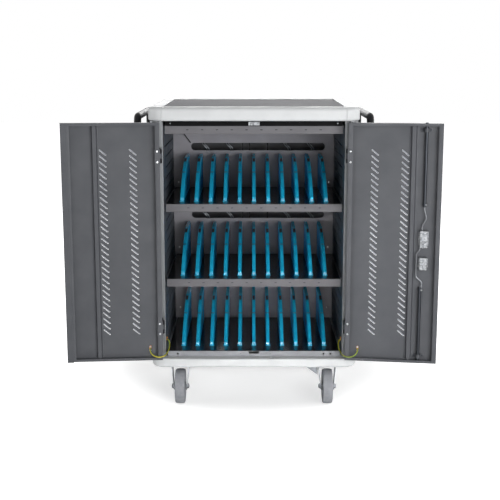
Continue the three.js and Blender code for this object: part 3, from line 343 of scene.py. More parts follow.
def soften(bm, width, segments=2, verts=None):
    """Rounds the sharp edges of what has been drawn."""
    chosen = set(verts or bm.verts)
    bm.normal_update()
    edges = [e for e in bm.edges if len(e.link_faces) == 2 and e.calc_face_angle(0) > 0.6
             and e.verts[0] in chosen and e.verts[1] in chosen]
    bmesh.ops.bevel(bm, geom=edges, offset=width, affect="EDGES", segments=segments, profile=0.5, material=-1,
                    clamp_overlap=True)


def pipe(bm, points, radius, facets=12, bend=None, smooth=True):
    """A round bar bent along points: a smooth curve, or straight runs with rounded bends."""
    data = bpy.data.curves.new("pipe", "CURVE")
    data.dimensions = "3D"
    data.bevel_depth, data.bevel_resolution, data.use_fill_caps = radius, max(1, facets // 4 - 1), True
    if bend:
        points = rounded_path(points, bend)
    if smooth:
        spline = data.splines.new("BEZIER")
        spline.bezier_points.add(len(points) - 1)
        for knot, point in zip(spline.bezier_points, points):
            knot.co = point
            knot.handle_left_type = knot.handle_right_type = "AUTO"
        data.resolution_u = 6
    else:
        spline = data.splines.new("POLY")
        spline.points.add(len(points) - 1)
        for knot, point in zip(spline.points, points):
            knot.co = (*point, 1)
    carrier = bpy.data.objects.new("pipe", data)
    mesh = bpy.data.meshes.new_from_object(carrier)
    bm.from_mesh(mesh)
    bpy.data.objects.remove(carrier)
    bpy.data.curves.remove(data)
    bpy.data.meshes.remove(mesh)


def rounded_path(points, bend, steps=6):
    """Straight runs between points, with each corner turned into an arc."""
    points = [Vector(p) for p in points]
    path = [points[0]]
    for before, corner, after in zip(points, points[1:], points[2:]):
        inward, outward = (before - corner).normalized() * bend, (after - corner).normalized() * bend
        for i in range(steps + 1):
            t = i / steps
            path.append(corner + inward * (1 - t) ** 2 + outward * t ** 2)
    return path + [points[-1]]


SWINGS = {"right": (HINGE_X, RIGHT_OPENING), "left": (-HINGE_X, LEFT_OPENING)}


def settle(bm, hang):
    """From the drawing, doors shut, to the frame's metres with the front doors at rest."""
    if hang in SWINGS:
        x, angle = SWINGS[hang]
        pin = Matrix.Translation((x, HINGE_Y, 0))
        bmesh.ops.transform(bm, verts=bm.verts, matrix=pin @ Matrix.Rotation(angle, 4, "Z") @ pin.inverted())
    if hang == "rear":
        pin = Matrix.Translation((0, BODY_DEPTH / 2, 0))
        bmesh.ops.transform(bm, verts=bm.verts, matrix=pin @ Matrix.Rotation(math.pi, 4, "Z") @ pin.inverted())
    bmesh.ops.transform(bm, verts=bm.verts, matrix=Matrix.Scale(MM, 4) @ Matrix.Translation((0, CART_FRONT, 0)))


def piece(name, bm, body, finish, stands_for=(), hang=None, sheet=0.0, fold=0.0, crease=35):
    """Turns a drawing into a finished piece on its body; a sheet gets its thickness and rounded folds."""
    bmesh.ops.remove_doubles(bm, verts=bm.verts, dist=0.02)
    bmesh.ops.recalc_face_normals(bm, faces=bm.faces)
    if sheet and fold:
        weight = bm.edges.layers.float.new("bevel_weight_edge")
        for edge in bm.edges:
            if len(edge.link_faces) == 2 and edge.calc_face_angle(0) > 0.6:
                edge[weight] = 1.0
    settle(bm, hang)
    mesh = bpy.data.meshes.new(name)
    bm.to_mesh(mesh)
    bm.free()
    mesh.shade_smooth()
    mesh.set_sharp_from_angle(angle=math.radians(crease))
    made = bpy.data.objects.new(name, mesh)
    bpy.context.scene.collection.objects.link(made)
    mesh.materials.append(finish)
    if sheet:
        thick = made.modifiers.new("thickness", "SOLIDIFY")
        thick.thickness, thick.offset, thick.use_even_offset = sheet * MM, 0.0, True
        if fold:
            round_off = made.modifiers.new("folds", "BEVEL")
            round_off.limit_method, round_off.width, round_off.segments = "WEIGHT", fold * MM, 3
    made.modifiers.new("flat_faces", "WEIGHTED_NORMAL").keep_sharp = True
    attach(made, body)
    if stands_for:
        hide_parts(*stands_for)
    return made


def mirror_across(bm):
    """The left-hand copy of what has been drawn on the right."""
    bmesh.ops.scale(bm, vec=(-1, 1, 1), verts=bm.verts)


def screw(bm, point, normal, radius=3.2):
    """A pan-head screw with a socket in its crown."""
    point, normal = Vector(point), Vector(normal).normalized()
    profile = [(0, 0.25 * radius), (0.42 * radius, 0.25 * radius), (0.42 * radius, 0.62 * radius),
               (0.72 * radius, 0.6 * radius), (0.95 * radius, 0.3 * radius), (radius, -0.1 * radius), (0, -0.1 * radius)]
    lathe(bm, profile, point, normal, 12)


# Earth wires: each leaves a stud on its door, hangs below the hinge and goes back to the post inside
EARTH_ROUTE = [(352, -9.4, 224), (351.5, -20, 219), (346, -31, 210), (335, -37.5, 203.5), (322, -39, 200.5),
               (310, -34, 200.5), (300.5, -20, 202), (296.5, 2, 204), (293, 22, 208), (291.5, 40, 215),
               (292, 52, 223), (295, 61, 230), (300.4, 66, 234)]
EARTH_RADIUS = 2.0


def spread(points, count):
    """Evenly spaced points on a smooth curve through the given ones, and its length."""
    points = [Vector(p) for p in points]
    ends = [2 * points[0] - points[1]] + points + [2 * points[-1] - points[-2]]
    fine = []
    for a, b, c, d in zip(ends, ends[1:], ends[2:], ends[3:]):
        for i in range(24):
            t = i / 24
            fine.append(0.5 * (2 * b + (c - a) * t + (2 * a - 5 * b + 4 * c - d) * t ** 2
                               + (3 * b - a - 3 * c + d) * t ** 3))
    fine.append(points[-1])
    walk = [0.0]
    for a, b in zip(fine, fine[1:]):
        walk.append(walk[-1] + (b - a).length)
    even, at = [], 0
    for i in range(count):
        goal = walk[-1] * i / (count - 1)
        while at < len(walk) - 2 and walk[at + 1] < goal:
            at += 1
        share = (goal - walk[at]) / max(walk[at + 1] - walk[at], 1e-9)
        even.append(fine[at].lerp(fine[at + 1], share))
    return even, walk[-1]


def earth_wire(side):
    """A round wire swept along its route with a UV map that runs round and along it."""
    sign = 1 if side == "right" else -1
    route = [(sign * x, y + CART_FRONT, z) for x, y, z in EARTH_ROUTE]
    path, length = spread(route, 64)
    path = [p * MM for p in path]
    bm = bmesh.new()
    uv = bm.loops.layers.uv.new("UVMap")
    facets, rings = 12, []
    across = Vector((0, 0, 1))
    for i, point in enumerate(path):
        ahead = (path[min(i + 1, len(path) - 1)] - path[max(i - 1, 0)]).normalized()
        across = (across - ahead * across.dot(ahead)).normalized()
        up = ahead.cross(across)
        rings.append([bm.verts.new(point + EARTH_RADIUS * MM * (
            across * math.cos(2 * math.pi * k / facets) + up * math.sin(2 * math.pi * k / facets)))
            for k in range(facets)])
    for i, (low, high) in enumerate(zip(rings, rings[1:])):
        for k in range(facets):
            face = bm.faces.new((low[k], low[(k + 1) % facets], high[(k + 1) % facets], high[k]))
            for loop, (du, dv) in zip(face.loops, ((0, 0), (0, 1), (1, 1), (1, 0))):
                loop[uv].uv = ((i + du) / 8, 2 * (k + dv) / facets)
    bm.faces.new(rings[0][::-1])
    bm.faces.new(rings[-1])
    bmesh.ops.recalc_face_normals(bm, faces=bm.faces)
    mesh = bpy.data.meshes.new(f"earth_lead_{side}")
    bm.to_mesh(mesh)
    bm.free()
    mesh.shade_smooth()
    wire = bpy.data.objects.new(f"earth_lead_{side}", mesh)
    bpy.context.scene.collection.objects.link(wire)
    mesh.materials.append(SLEEVE)
    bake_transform(wire)
    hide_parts(f"earth_wire_{side}")


for side in ("right", "left"):
    earth_wire(side)


# Doors: one folded sheet each, with slanted slots, a return lip and a hat-shaped stiffener
SLOT_TILT, SLOT_PITCH, SLOT_LENGTH, SLOT_WIDTH = math.radians(40), 19.6, 30.0, 4.8
FRONT_GAPS = [(level - 25.5, level + 25.5) for level in sorted(HINGE_LEVELS)]


def slot_columns(from_hinge, count, tilt, middle=(DOOR_TOP + DOOR_BOTTOM) / 2):
    """Columns of slanted slots about one height."""
    return [long_hole(DOOR_EDGE - away, middle + (i - (count - 1) / 2) * SLOT_PITCH, SLOT_LENGTH, SLOT_WIDTH, tilt)
            for away in from_hinge for i in range(count)]


def louvre_lips(bm, from_hinge, count, tilt):
    """A lip pressed out over each slot, open along its lower edge; its pale coat is painted light, standing for the
    light seen through the slot.
    """
    along, up = Vector((math.cos(tilt), 0, math.sin(tilt))), Vector((-math.sin(tilt), 0, math.cos(tilt)))
    out, length = Vector((0, -1, 0)), SLOT_LENGTH - 2
    root, edge = up * (0.6 * SLOT_WIDTH) + out * 0.1, up * (-0.47 * SLOT_WIDTH) + out * 2.4
    thick = (edge - root).cross(along).normalized() * 0.9
    thick *= math.copysign(1, thick.dot(out))
    for away in from_hinge:
        for i in range(count):
            middle = Vector((DOOR_EDGE - away, DOOR_FACE, (DOOR_TOP + DOOR_BOTTOM) / 2 + (i - (count - 1) / 2) * SLOT_PITCH))
            start = middle - along * (length / 2)
            run(bm, [start + p for p in (root, edge, edge + thick, root + thick)], along * length)


def door_sheet(bm, free, gaps, slots, top_holes=(), bottom_holes=()):
    """The folded sheet of a door, shut and hinged on the right, with room for the hinge knuckles."""
    half = SHEET / 2
    x0, x1, y0, y1 = free + half, DOOR_EDGE - half, DOOR_FACE + half, DOOR_BACK - half
    z0, z1 = DOOR_BOTTOM + half, DOOR_TOP - half
    face_edge, side_edge = [(x1, z0)], [(y0, z0)]
    for low, high in gaps:
        face_edge += [(x1, low), (302 - half, low), (302 - half, high), (x1, high)]
        side_edge += [(y0, low), (10 + half, low), (10 + half, high), (y0, high)]
    wall(bm, "y", y0, face_edge + [(x1, z1), (x0, z1), (x0, z0)], slots)
    wall(bm, "x", x1, side_edge + [(y0, z1), (y1, z1), (y1, z0)])
    wall(bm, "x", x0, rect(y0, y1, z0, z1))
    wall(bm, "z", z1, rect(x0, x1, y0, y1), top_holes)
    wall(bm, "z", z0, rect(x0, x1, y0, y1), bottom_holes)
    wall(bm, "y", y1, rect(x0, x1, z0, z1), [rect(x0 + 14, x1 - 14, z0 + 8, z1 - 8)])


def stiffener(bm, from_hinge):
    """A pressed hat section, open at its ends and spot-welded to the skin."""
    x, y, depth = DOOR_EDGE - from_hinge, DOOR_FACE + SHEET + 0.6, 11.0
    profile = [(x - 14, y), (x - 9, y), (x - 6, y + depth), (x + 6, y + depth), (x + 9, y), (x + 14, y)]
    verts = [bm.verts.new((u, v, DOOR_BOTTOM + 10)) for u, v in profile]
    edges = [bm.edges.new(pair) for pair in zip(verts, verts[1:])]
    grown = bmesh.ops.extrude_edge_only(bm, edges=edges)["geom"]
    bmesh.ops.translate(bm, vec=(0, 0, DOOR_TOP - DOOR_BOTTOM - 20),
                        verts=[v for v in grown if isinstance(v, bmesh.types.BMVert)])


ROD_Y, ROD_RADIUS = 19.0, 5.0
UPPER_ROD_X, LOWER_ROD_X, LOCK_X, PIVOT_Z = 55.0, 62.0, 55.0, 607.0

bm = bmesh.new()
door_sheet(bm, FREE_EDGE, FRONT_GAPS, slot_columns((87.5, 186), 32, SLOT_TILT) + [round_hole(LOCK_X, PIVOT_Z, 9)],
           top_holes=[round_hole(UPPER_ROD_X, ROD_Y, 8)], bottom_holes=[round_hole(LOWER_ROD_X, ROD_Y, 8)])
piece("door_right_sheet", bm, "door_right", DOOR_PAINT, ["door_right"], "right", SHEET, 1.4)
bm = bmesh.new()
louvre_lips(bm, (87.5, 186), 32, SLOT_TILT)
piece("door_right_louvres", bm, "door_right", LOUVRE_PAINTED_LIGHT, (), "right")
bm = bmesh.new()
stiffener(bm, 212)
piece("door_right_stiffener", bm, "door_right", DOOR_PAINT, (), "right", 1.2, 1.2)

bm = bmesh.new()
door_sheet(bm, FREE_EDGE, FRONT_GAPS, slot_columns((87.5, 186), 32, -SLOT_TILT))
mirror_across(bm)
piece("door_left_sheet", bm, "door_left", DOOR_PAINT, ["door_left"], "left", SHEET, 1.4)
bm = bmesh.new()
louvre_lips(bm, (87.5, 186), 32, -SLOT_TILT)
mirror_across(bm)
piece("door_left_louvres", bm, "door_left", LOUVRE_PAINTED_LIGHT, (), "left")
bm = bmesh.new()
stiffener(bm, 212)
mirror_across(bm)
piece("door_left_stiffener", bm, "door_left", DOOR_PAINT, (), "left", 1.2, 1.2)

# Overlap strip on the left door's free edge, joggled so that the right door shuts over it
bm = bmesh.new()
slab(bm, -8.5, 12.5, DOOR_BACK + 0.3, DOOR_BACK + 1.9, DOOR_BOTTOM - 1.5, DOOR_TOP + 1.5)
slab(bm, -8.5, -2.5, DOOR_BACK - 0.2, DOOR_BACK + 0.6, DOOR_BOTTOM + 15, DOOR_TOP - 15)
soften(bm, 0.35)
piece("door_left_overlap", bm, "door_left", DOOR_PAINT, (), "left")

# Hinges: a frame half with two knuckles and the pin, and a door half with a wrapped leaf
def hinge_frame(bm, level, height):
    half, room = height / 2, height / 6 + 0.4
    start = set(bm.verts)
    slab(bm, 310.2, 316.7, 3.5, 32.7, level + room, level + half)
    slab(bm, 310.2, 316.7, 3.5, 32.7, level - half, level - room)
    slab(bm, 310.2, 316.7, 10, 32.7, level - room - 1, level + room + 1)
    soften(bm, 0.6, 2, set(bm.verts) - start)
    for low, high in ((level + room, level + half), (level - half, level - room)):
        lathe(bm, [(0, low), (5.0, low), (5.5, low + 0.5), (5.5, high - 0.5), (5.0, high), (0, high)],
              (HINGE_X, HINGE_Y, 0), (0, 0, 1), 24)
    bar(bm, (HINGE_X, HINGE_Y, level - half - 0.6), (HINGE_X, HINGE_Y, level + half + 0.6), 2.9, None, 16)


def hinge_leaf(bm, level, height):
    half, room = height / 2, height / 6
    start = set(bm.verts)
    slab(bm, 307.2, 308.8, 8, 30.8, level - half, level + half)
    slab(bm, 290.8, 308.8, 29.2, 30.8, level - half, level + half)
    slab(bm, 307.2, 308.8, 4, 12, level - room, level + room)
    soften(bm, 0.5, 2, set(bm.verts) - start)
    lathe(bm, [(3.3, level - room), (5.0, level - room), (5.5, level - room + 0.5), (5.5, level + room - 0.5),
               (5.0, level + room), (3.3, level + room), (3.3, level - room)], (HINGE_X, HINGE_Y, 0), (0, 0, 1), 24)


for side in ("right", "left"):
    for name, level in zip(("upper", "lower"), HINGE_LEVELS):
        bm = bmesh.new()
        hinge_frame(bm, level, 47)
        if side == "left":
            mirror_across(bm)
        piece(f"hinge_{side}_{name}_frame_half", bm, "cabinet", BLACK_NYLON,
              [f"hinge_frame_{side}_{name}"])
        bm = bmesh.new()
        hinge_leaf(bm, level, 47)
        if side == "left":
            mirror_across(bm)
        piece(f"hinge_{side}_{name}_door_half", bm, f"door_{side}", DOOR_PAINT,
              [f"hinge_door_{side}_{name}"], side)
    bm = bmesh.new()
    for level in HINGE_LEVELS:
        for step in (-17.5, 17.5):
            screw(bm, (299, 30.8, level + step), (0, 1, 0), 3.8)
    for level in (227, 214):
        screw(bm, (265, 8.6, level), (0, 1, 0), 3.6)
    if side == "left":
        mirror_across(bm)
    piece(f"hinge_screws_{side}", bm, f"door_{side}", ZINC, (), side)
    bm = bmesh.new()
    run(bm, on("y", 7.2, round_corners(261, 269, 219, 231.5, 3.9, 6)), (0, 1.2, 0))
    if side == "left":
        mirror_across(bm)
    piece(f"earth_lug_door_{side}", bm, f"door_{side}", COPPER_LUG, (), side)
    bm = bmesh.new()
    run(bm, on("x", 300.6, round_corners(61.5, 70, 228, 244, 4, 6)), (1.2, 0, 0))
    screw(bm, (300.4, 66, 239.5), (-1, 0, 0), 3)
    if side == "left":
        mirror_across(bm)
    piece(f"earth_lug_post_{side}", bm, "cabinet", COPPER_LUG)

# Lock rods with their cranked wires, end screws, guides and zinc cases, inside the right door
UPPER_END, LOWER_END = 713.0, 445.0
for name, x, low, high, route in (
        ("upper", UPPER_ROD_X, UPPER_END, DOOR_TOP + 3.5,
         [(55, 720), (55, 704), (49, 684), (49, 672), (61, 650), (61, 616)]),
        ("lower", LOWER_ROD_X, DOOR_BOTTOM - 2.5, LOWER_END,
         [(57, 440), (57, 462), (77, 480), (77, 558), (66, 570), (66, 598)])):
    bm = bmesh.new()
    lathe(bm, [(0, low), (3.4, low), (5, low + 2.6), (5, high - 2.6), (3.4, high), (0, high)], (x, ROD_Y, 0),
          (0, 0, 1), 24)
    end = high if name == "lower" else low
    lathe(bm, [(4.6, -5), (5.9, -5), (6.4, -4.4), (6.4, 4.4), (5.9, 5), (4.6, 5), (4.6, -5)],
          (x, ROD_Y, end + (9 if name == "upper" else -9)), (0, 0, 1), 20)
    piece(f"lock_rod_{name}", bm, f"rod_{name}", ROD_STEEL, [f"rod_{name}"], "right")
    bm = bmesh.new()
    pipe(bm, [(u, ROD_Y, z) for u, z in route], 2.3, 12, bend=6, smooth=False)
    piece(f"lock_wire_{name}", bm, f"rod_{name}", LINK_WIRE, (), "right")
    bm = bmesh.new()
    screw(bm, (x - 5, ROD_Y + 4.4, end + (9 if name == "upper" else -9)), (-1, 1, 0), 3.6)
    piece(f"lock_rod_{name}_screw", bm, f"rod_{name}", ZINC, (), "right")

for name, x, z in (("upper", UPPER_ROD_X, DOOR_TOP - 22), ("lower", LOWER_ROD_X, DOOR_BOTTOM + 22)):
    bm = bmesh.new()
    saddle = [(x - 20, 7.9), (x - 7.6, 7.9), (x - 7.6, ROD_Y), *[
        (x + 7.6 * math.cos(a), ROD_Y + 7.6 * math.sin(a)) for a in [math.pi * (1 - i / 8) for i in range(1, 8)]],
        (x + 7.6, ROD_Y), (x + 7.6, 7.9), (x + 20, 7.9)]
    verts = [bm.verts.new((u, v, z - 6)) for u, v in saddle]
    edges = [bm.edges.new(pair) for pair in zip(verts, verts[1:])]
    grown = bmesh.ops.extrude_edge_only(bm, edges=edges)["geom"]
    bmesh.ops.translate(bm, vec=(0, 0, 12), verts=[v for v in grown if isinstance(v, bmesh.types.BMVert)])
    piece(f"rod_saddle_{name}", bm, "door_right", DOOR_PAINT, [f"rod_guide_{name}"], "right", 1.5)
    bm = bmesh.new()
    for u in (x - 14, x + 14):
        screw(bm, (u, 8.7, z), (0, 1, 0), 2.4)
    piece(f"rod_saddle_{name}_rivets", bm, "door_right", ROD_STEEL, (), "right")

for name, top, height in (("upper", 636.0, 58.0), ("lower", 546.0, 42.0)):
    bm = bmesh.new()
    slab(bm, LOCK_X - 13, LOCK_X + 13, 7.3, 31.3, top - height, top)
    soften(bm, 2.2, 3)
    slab(bm, LOCK_X - 16, LOCK_X + 16, 7.3, 9.3, top - height + 6, top - 6)
    slab(bm, LOCK_X - 10, LOCK_X + 10, 30.8, 31.9, top - height + 4, top - 4)
    piece(f"lock_box_{name}", bm, "door_right", CAST_ZINC, [f"lock_case_{name}"], "right")
    bm = bmesh.new()
    for z in (top - 9, top - height + 9):
        screw(bm, (LOCK_X, 31.9, z), (0, 1, 0), 3)
    lathe(bm, [(0, 32.5), (3.4, 32.5), (3.4, 31.6), (5.2, 31.6), (5.6, 31.2), (0, 31.2)],
          (LOCK_X + 3, 0, top - height / 2), (0, 1, 0), 20)
    piece(f"lock_box_{name}_screws", bm, "door_right", FORK_ZINC, (), "right")

# Outside of the right door: the escutcheon and the swing handle
bm = bmesh.new()
run(bm, on("y", 4.7, round_corners(LOCK_X - 18, LOCK_X + 18, 537, 643, 17.5, 8)), (0, -10.7, 0))
soften(bm, 2.5, 3)
piece("handle_dish", bm, "door_right", BLACK_NYLON, ["lock_escutcheon"], "right")
bm = bmesh.new()
run(bm, on("y", -7.3, round_corners(LOCK_X - 11, LOCK_X + 52, PIVOT_Z - 11, PIVOT_Z + 11, 10.5, 8)), (0, -11, 0))
soften(bm, 3.2, 4)
lathe(bm, [(0, -6.3), (15, -6.3), (15, -17.8), (13.2, -19.3), (6.5, -19.3), (6, -18.2), (0, -18.2)],
      (LOCK_X, 0, PIVOT_Z), (0, 1, 0), 32)
bar(bm, (LOCK_X, -8, PIVOT_Z), (LOCK_X, 6.6, PIVOT_Z), 8, None, 24)
piece("handle_lever", bm, "swing_handle", BLACK_NYLON, ["swing_handle"], "right")
bm = bmesh.new()
lathe(bm, [(0, -18.6), (5.6, -18.6), (5.9, -18.0), (5.9, -17), (0, -17)], (LOCK_X, 0, PIVOT_Z), (0, 1, 0), 24)
slab(bm, LOCK_X - 0.6, LOCK_X + 0.6, -18.75, -18.5, PIVOT_Z - 3.5, PIVOT_Z + 3.5)
piece("handle_key_barrel", bm, "swing_handle", ZINC, (), "right")


# Top and base rails: a rounded section along each side, with moulded corners
def rail_section(height, crown, foot, steps=8):
    """The rail's outline as inward distance and height."""
    ring = [(RAIL, 0)]
    ring += [(foot - foot * math.sin(a), foot - foot * math.cos(a)) for a in
             [math.pi / 2 * i / steps for i in range(steps + 1)]]
    ring += [(crown - crown * math.cos(a), height - crown + crown * math.sin(a)) for a in
             [math.pi / 2 * i / steps for i in range(steps + 1)]]
    return ring + [(RAIL, height)]


def rail_sides(bm, bottom, section, seam):
    """Four straight rails, each drawn along X and turned to its side."""
    for quarter, (length, reach) in enumerate(((700, 320), (640, 350), (700, 320), (640, 350))):
        half = length / 2 - RAIL - seam
        verts = run(bm, [(-half, d - reach, bottom + h) for d, h in section], (2 * half, 0, 0))
        bmesh.ops.rotate(bm, cent=(0, 0, 0), matrix=Matrix.Rotation(quarter * math.pi / 2, 3, "Z"), verts=verts)
        bmesh.ops.translate(bm, vec=(0, BODY_DEPTH / 2, 0), verts=verts)


def rail_corner(bm, quarter, bottom, section, closed):
    """One corner: the section spun a quarter turn about the rails' inner corner, with or without its end faces."""
    sx, sy = ((1, -1), (1, 1), (-1, 1), (-1, -1))[quarter]
    cx, cy = sx * (BODY_HALF - RAIL), BODY_DEPTH / 2 + sy * (BODY_DEPTH / 2 - RAIL)
    start = (quarter - 1) * math.pi / 2
    ring = [bm.verts.new((cx + (RAIL - d) * math.cos(start), cy + (RAIL - d) * math.sin(start), bottom + h))
            for d, h in section]
    edges = [bm.edges.new(pair) for pair in zip(ring, ring[1:])]
    made = bmesh.ops.spin(bm, geom=ring + edges, cent=(cx, cy, 0), axis=(0, 0, 1), angle=math.pi / 2, steps=14)
    if closed:
        bm.faces.new(ring)
        bm.faces.new([v for v in made["geom_last"] if isinstance(v, bmesh.types.BMVert)])


def keeper(bm, x, level, depth):
    """A blind hole for a lock rod in the flat of the front rail."""
    flat = [f for f in bm.faces if all(abs(v.co.z - level) < 0.01 and v.co.y < RAIL + 1 for v in f.verts)]
    flat = max(flat, key=lambda f: f.calc_area())
    edges = list(flat.edges)
    bmesh.ops.delete(bm, geom=[flat], context="FACES_ONLY")
    verts = [bm.verts.new(p) for p in on("z", level, round_hole(x, ROD_Y, 8))]
    rim = [bm.edges.new(pair) for pair in zip(verts, verts[1:] + verts[:1])]
    bmesh.ops.triangle_fill(bm, use_beauty=True, use_dissolve=False, edges=edges + rim)
    grown = bmesh.ops.extrude_edge_only(bm, edges=rim)["geom"]
    deep = [v for v in grown if isinstance(v, bmesh.types.BMVert)]
    bmesh.ops.translate(bm, vec=(0, 0, depth), verts=deep)
    bmesh.ops.contextual_create(bm, geom=[e for e in grown if isinstance(e, bmesh.types.BMEdge)
                                          and e.verts[0] in deep and e.verts[1] in deep])


CORNERS = ("front_right", "rear_right", "rear_left", "front_left")
cap_section, base_section = rail_section(45, 14, 7), rail_section(32, 6, 10)
bm = bmesh.new()
rail_sides(bm, CAP_BOTTOM, cap_section, 0.8)
keeper(bm, UPPER_ROD_X, CAP_BOTTOM, 24)
piece("cap_rails", bm, "cabinet", RAIL_PAINT, ["cap_frame"])
for quarter, corner in enumerate(CORNERS):
    bm = bmesh.new()
    rail_corner(bm, quarter, CAP_BOTTOM, cap_section, True)
    piece(f"cap_cap_{corner}", bm, "cabinet", RAIL_PAINT, [f"cap_corner_{corner}"])
bm = bmesh.new()
rail_sides(bm, BASE_BOTTOM, base_section, 0)
keeper(bm, LOWER_ROD_X, BASE_TOP, -24)
for quarter in range(4):
    rail_corner(bm, quarter, BASE_BOTTOM, base_section, False)
slab(bm, -310, 310, 40, 600, BASE_BOTTOM + 0.4, BASE_BOTTOM + 3.4)
piece("base_pan", bm, "cabinet", RAIL_PAINT, ["base_frame"])
bm = bmesh.new()
slab(bm, -303.6, 303.6, 46.4, 593.6, 1027, 1033)
soften(bm, 1.0, 2)
piece("top_board", bm, "cabinet", TOP_LAMINATE, ["top_panel"])

# Corner posts: one extruded section, with a rebate that the door shuts over
section = [(302, 33), (317, 33), (317, 9), (318, 8)]
section += [(322 + 22 * math.sin(a), 30 - 22 * math.cos(a)) for a in [math.pi / 2 * i / 10 for i in range(11)]]
section += [(344, 74), (343, 75), (303, 75), (302, 74)]
for name, hang, flip in (("front_right", None, False), ("front_left", None, True), ("rear_left", "rear", False),
                         ("rear_right", "rear", True)):
    bm = bmesh.new()
    run(bm, [(x, y, BASE_TOP) for x, y in section], (0, 0, CAP_BOTTOM - BASE_TOP))
    if flip:
        mirror_across(bm)
    piece(f"post_profile_{name}", bm, "cabinet", POST_METAL, [f"post_{name}"], hang)


# Shelves: a folded tray with numbered-bay slots in its lip, a black liner and a row of blue dividers
LIP = 296.2


def tray_sheet(bm, front, top, lip, marks):
    """A tray turned down at its edges, with its corners notched round the posts."""
    half = SHEET / 2
    x1, y0, y1, level, low = 301.7 - half, front + half, 494.7 - half, top - 0.7 - half, top - lip + half
    notch, edge = 75.3 + half, top - 15
    wall(bm, "z", level, [(-LIP, y0), (LIP, y0), (LIP, notch), (x1, notch), (x1, y1), (-x1, y1), (-x1, notch),
                          (-LIP, notch)])
    wall(bm, "y", y0, rect(-LIP, LIP, low, level), marks)
    wall(bm, "z", low, rect(-LIP, LIP, y0, y0 + 12))
    for x in (-x1, x1):
        wall(bm, "x", x, rect(notch, y1, edge, level))
    wall(bm, "y", y1, rect(-x1, x1, edge, level))


def plate(bm, x0, x1, rim, holes):
    """A moulded plate between two levels of x, with windows through it."""
    sides = [], []
    for ring in (rim, *holes):
        loops = [[bm.verts.new(p) for p in on("x", level, ring)] for level in (x0, x1)]
        for loop, edges in zip(loops, sides):
            edges += [bm.edges.new(pair) for pair in zip(loop, loop[1:] + loop[:1])]
        for i in range(len(ring)):
            bm.faces.new((loops[0][i - 1], loops[0][i], loops[1][i], loops[1][i - 1]))
    for edges in sides:
        bmesh.ops.triangle_fill(bm, use_beauty=True, use_dissolve=False, edges=edges)


# Slanted recesses of a divider: depth of the lower front corner, lowest and highest level above the tray
RECESSES = [(200, 44, 64), (252, 14, 62), (300, 14, 62)]
NOSE_RADIUS, NOSE_LEAN = 46.0, math.radians(15)


def divider_outline(base, inset=0.0):
    """A divider's side view: a blunt nose, a swept front, a level top and an upright back."""
    front, back, top = 99.0 + inset, 480.0 - inset, base + 128 - inset
    sweep = [(front + NOSE_RADIUS * (1 - math.cos(a)), base + 2 + NOSE_RADIUS * math.sin(a))
             for a in [NOSE_LEAN * i / 4 for i in range(5)]]
    start_y, start_z = sweep[-1]
    for i in range(1, 17):
        t = i / 16
        sweep.append((start_y * (1 - t) ** 2 + 2 * t * (1 - t) * (215 + inset) + (360 + inset) * t * t,
                      start_z * (1 - t) ** 2 + 2 * t * (1 - t) * (base + 104 - inset) + top * t * t))
    return [(back, base), (front, base), *sweep, (back, top)]


def divider_recesses(base, grow=0.0):
    """The slanted cut-outs in a divider's side panels."""
    rings = []
    for y, low, high in RECESSES:
        lean = 0.45 * (high - low)
        z0, z1 = base + low - grow, base + high + grow
        rings.append([(y - grow, z0), (y + 38 + grow, z0), (y + 38 + lean + grow, z1), (y + lean - grow, z1)])
    return rings


def divider(bm, x, base):
    """A moulded divider: a blunt nose, a swept front, rounded edges and a low foot."""
    plate(bm, x - 5.5, x + 5.5, divider_outline(base), [])
    run(bm, [(x - 8.5, 98, base), (x + 8.5, 98, base), (x + 8.5, 98, base + 1.4), (x + 6, 98, base + 3.6),
             (x - 6, 98, base + 3.6), (x - 8.5, 98, base + 1.4)], (0, 26, 0))


def divider_panel(bm, x, base):
    """The raised panels on both sides of a divider, in a lighter blue that is painted light on the side faces."""
    plate(bm, x - 5.8, x + 5.8, divider_outline(base, 4), divider_recesses(base))


def divider_painted_shade(bm, x, base):
    """Painted shade: dark plates on the floors of the recesses, and a dark band across the middle of the swept front.
    """
    for ring in divider_recesses(base, 1):
        plate(bm, x - 5.6, x + 5.6, ring, [])
    (y0, z0), (y, z), (y1, z1) = divider_outline(base)[13:16]
    place = Matrix.Translation((x, y, z)) @ Matrix.Rotation(math.atan2(z1 - z0, y1 - y0), 4, "X")
    bmesh.ops.create_cube(bm, size=1.0, matrix=place @ Matrix.Diagonal((11.4, 8, 1.2, 1)))


def divider_clip(bm, x, base):
    """A black cable clip let into the top of the swept front; its black is also painted shade, standing for the shade
    of a notch there.
    """
    middle = Matrix.Translation((x, 321.0, base + 119.0)) @ Matrix.Rotation(math.radians(13), 4, "X")
    bmesh.ops.create_cube(bm, size=1.0, matrix=middle @ Matrix.Diagonal((8.4, 34, 4, 1)))


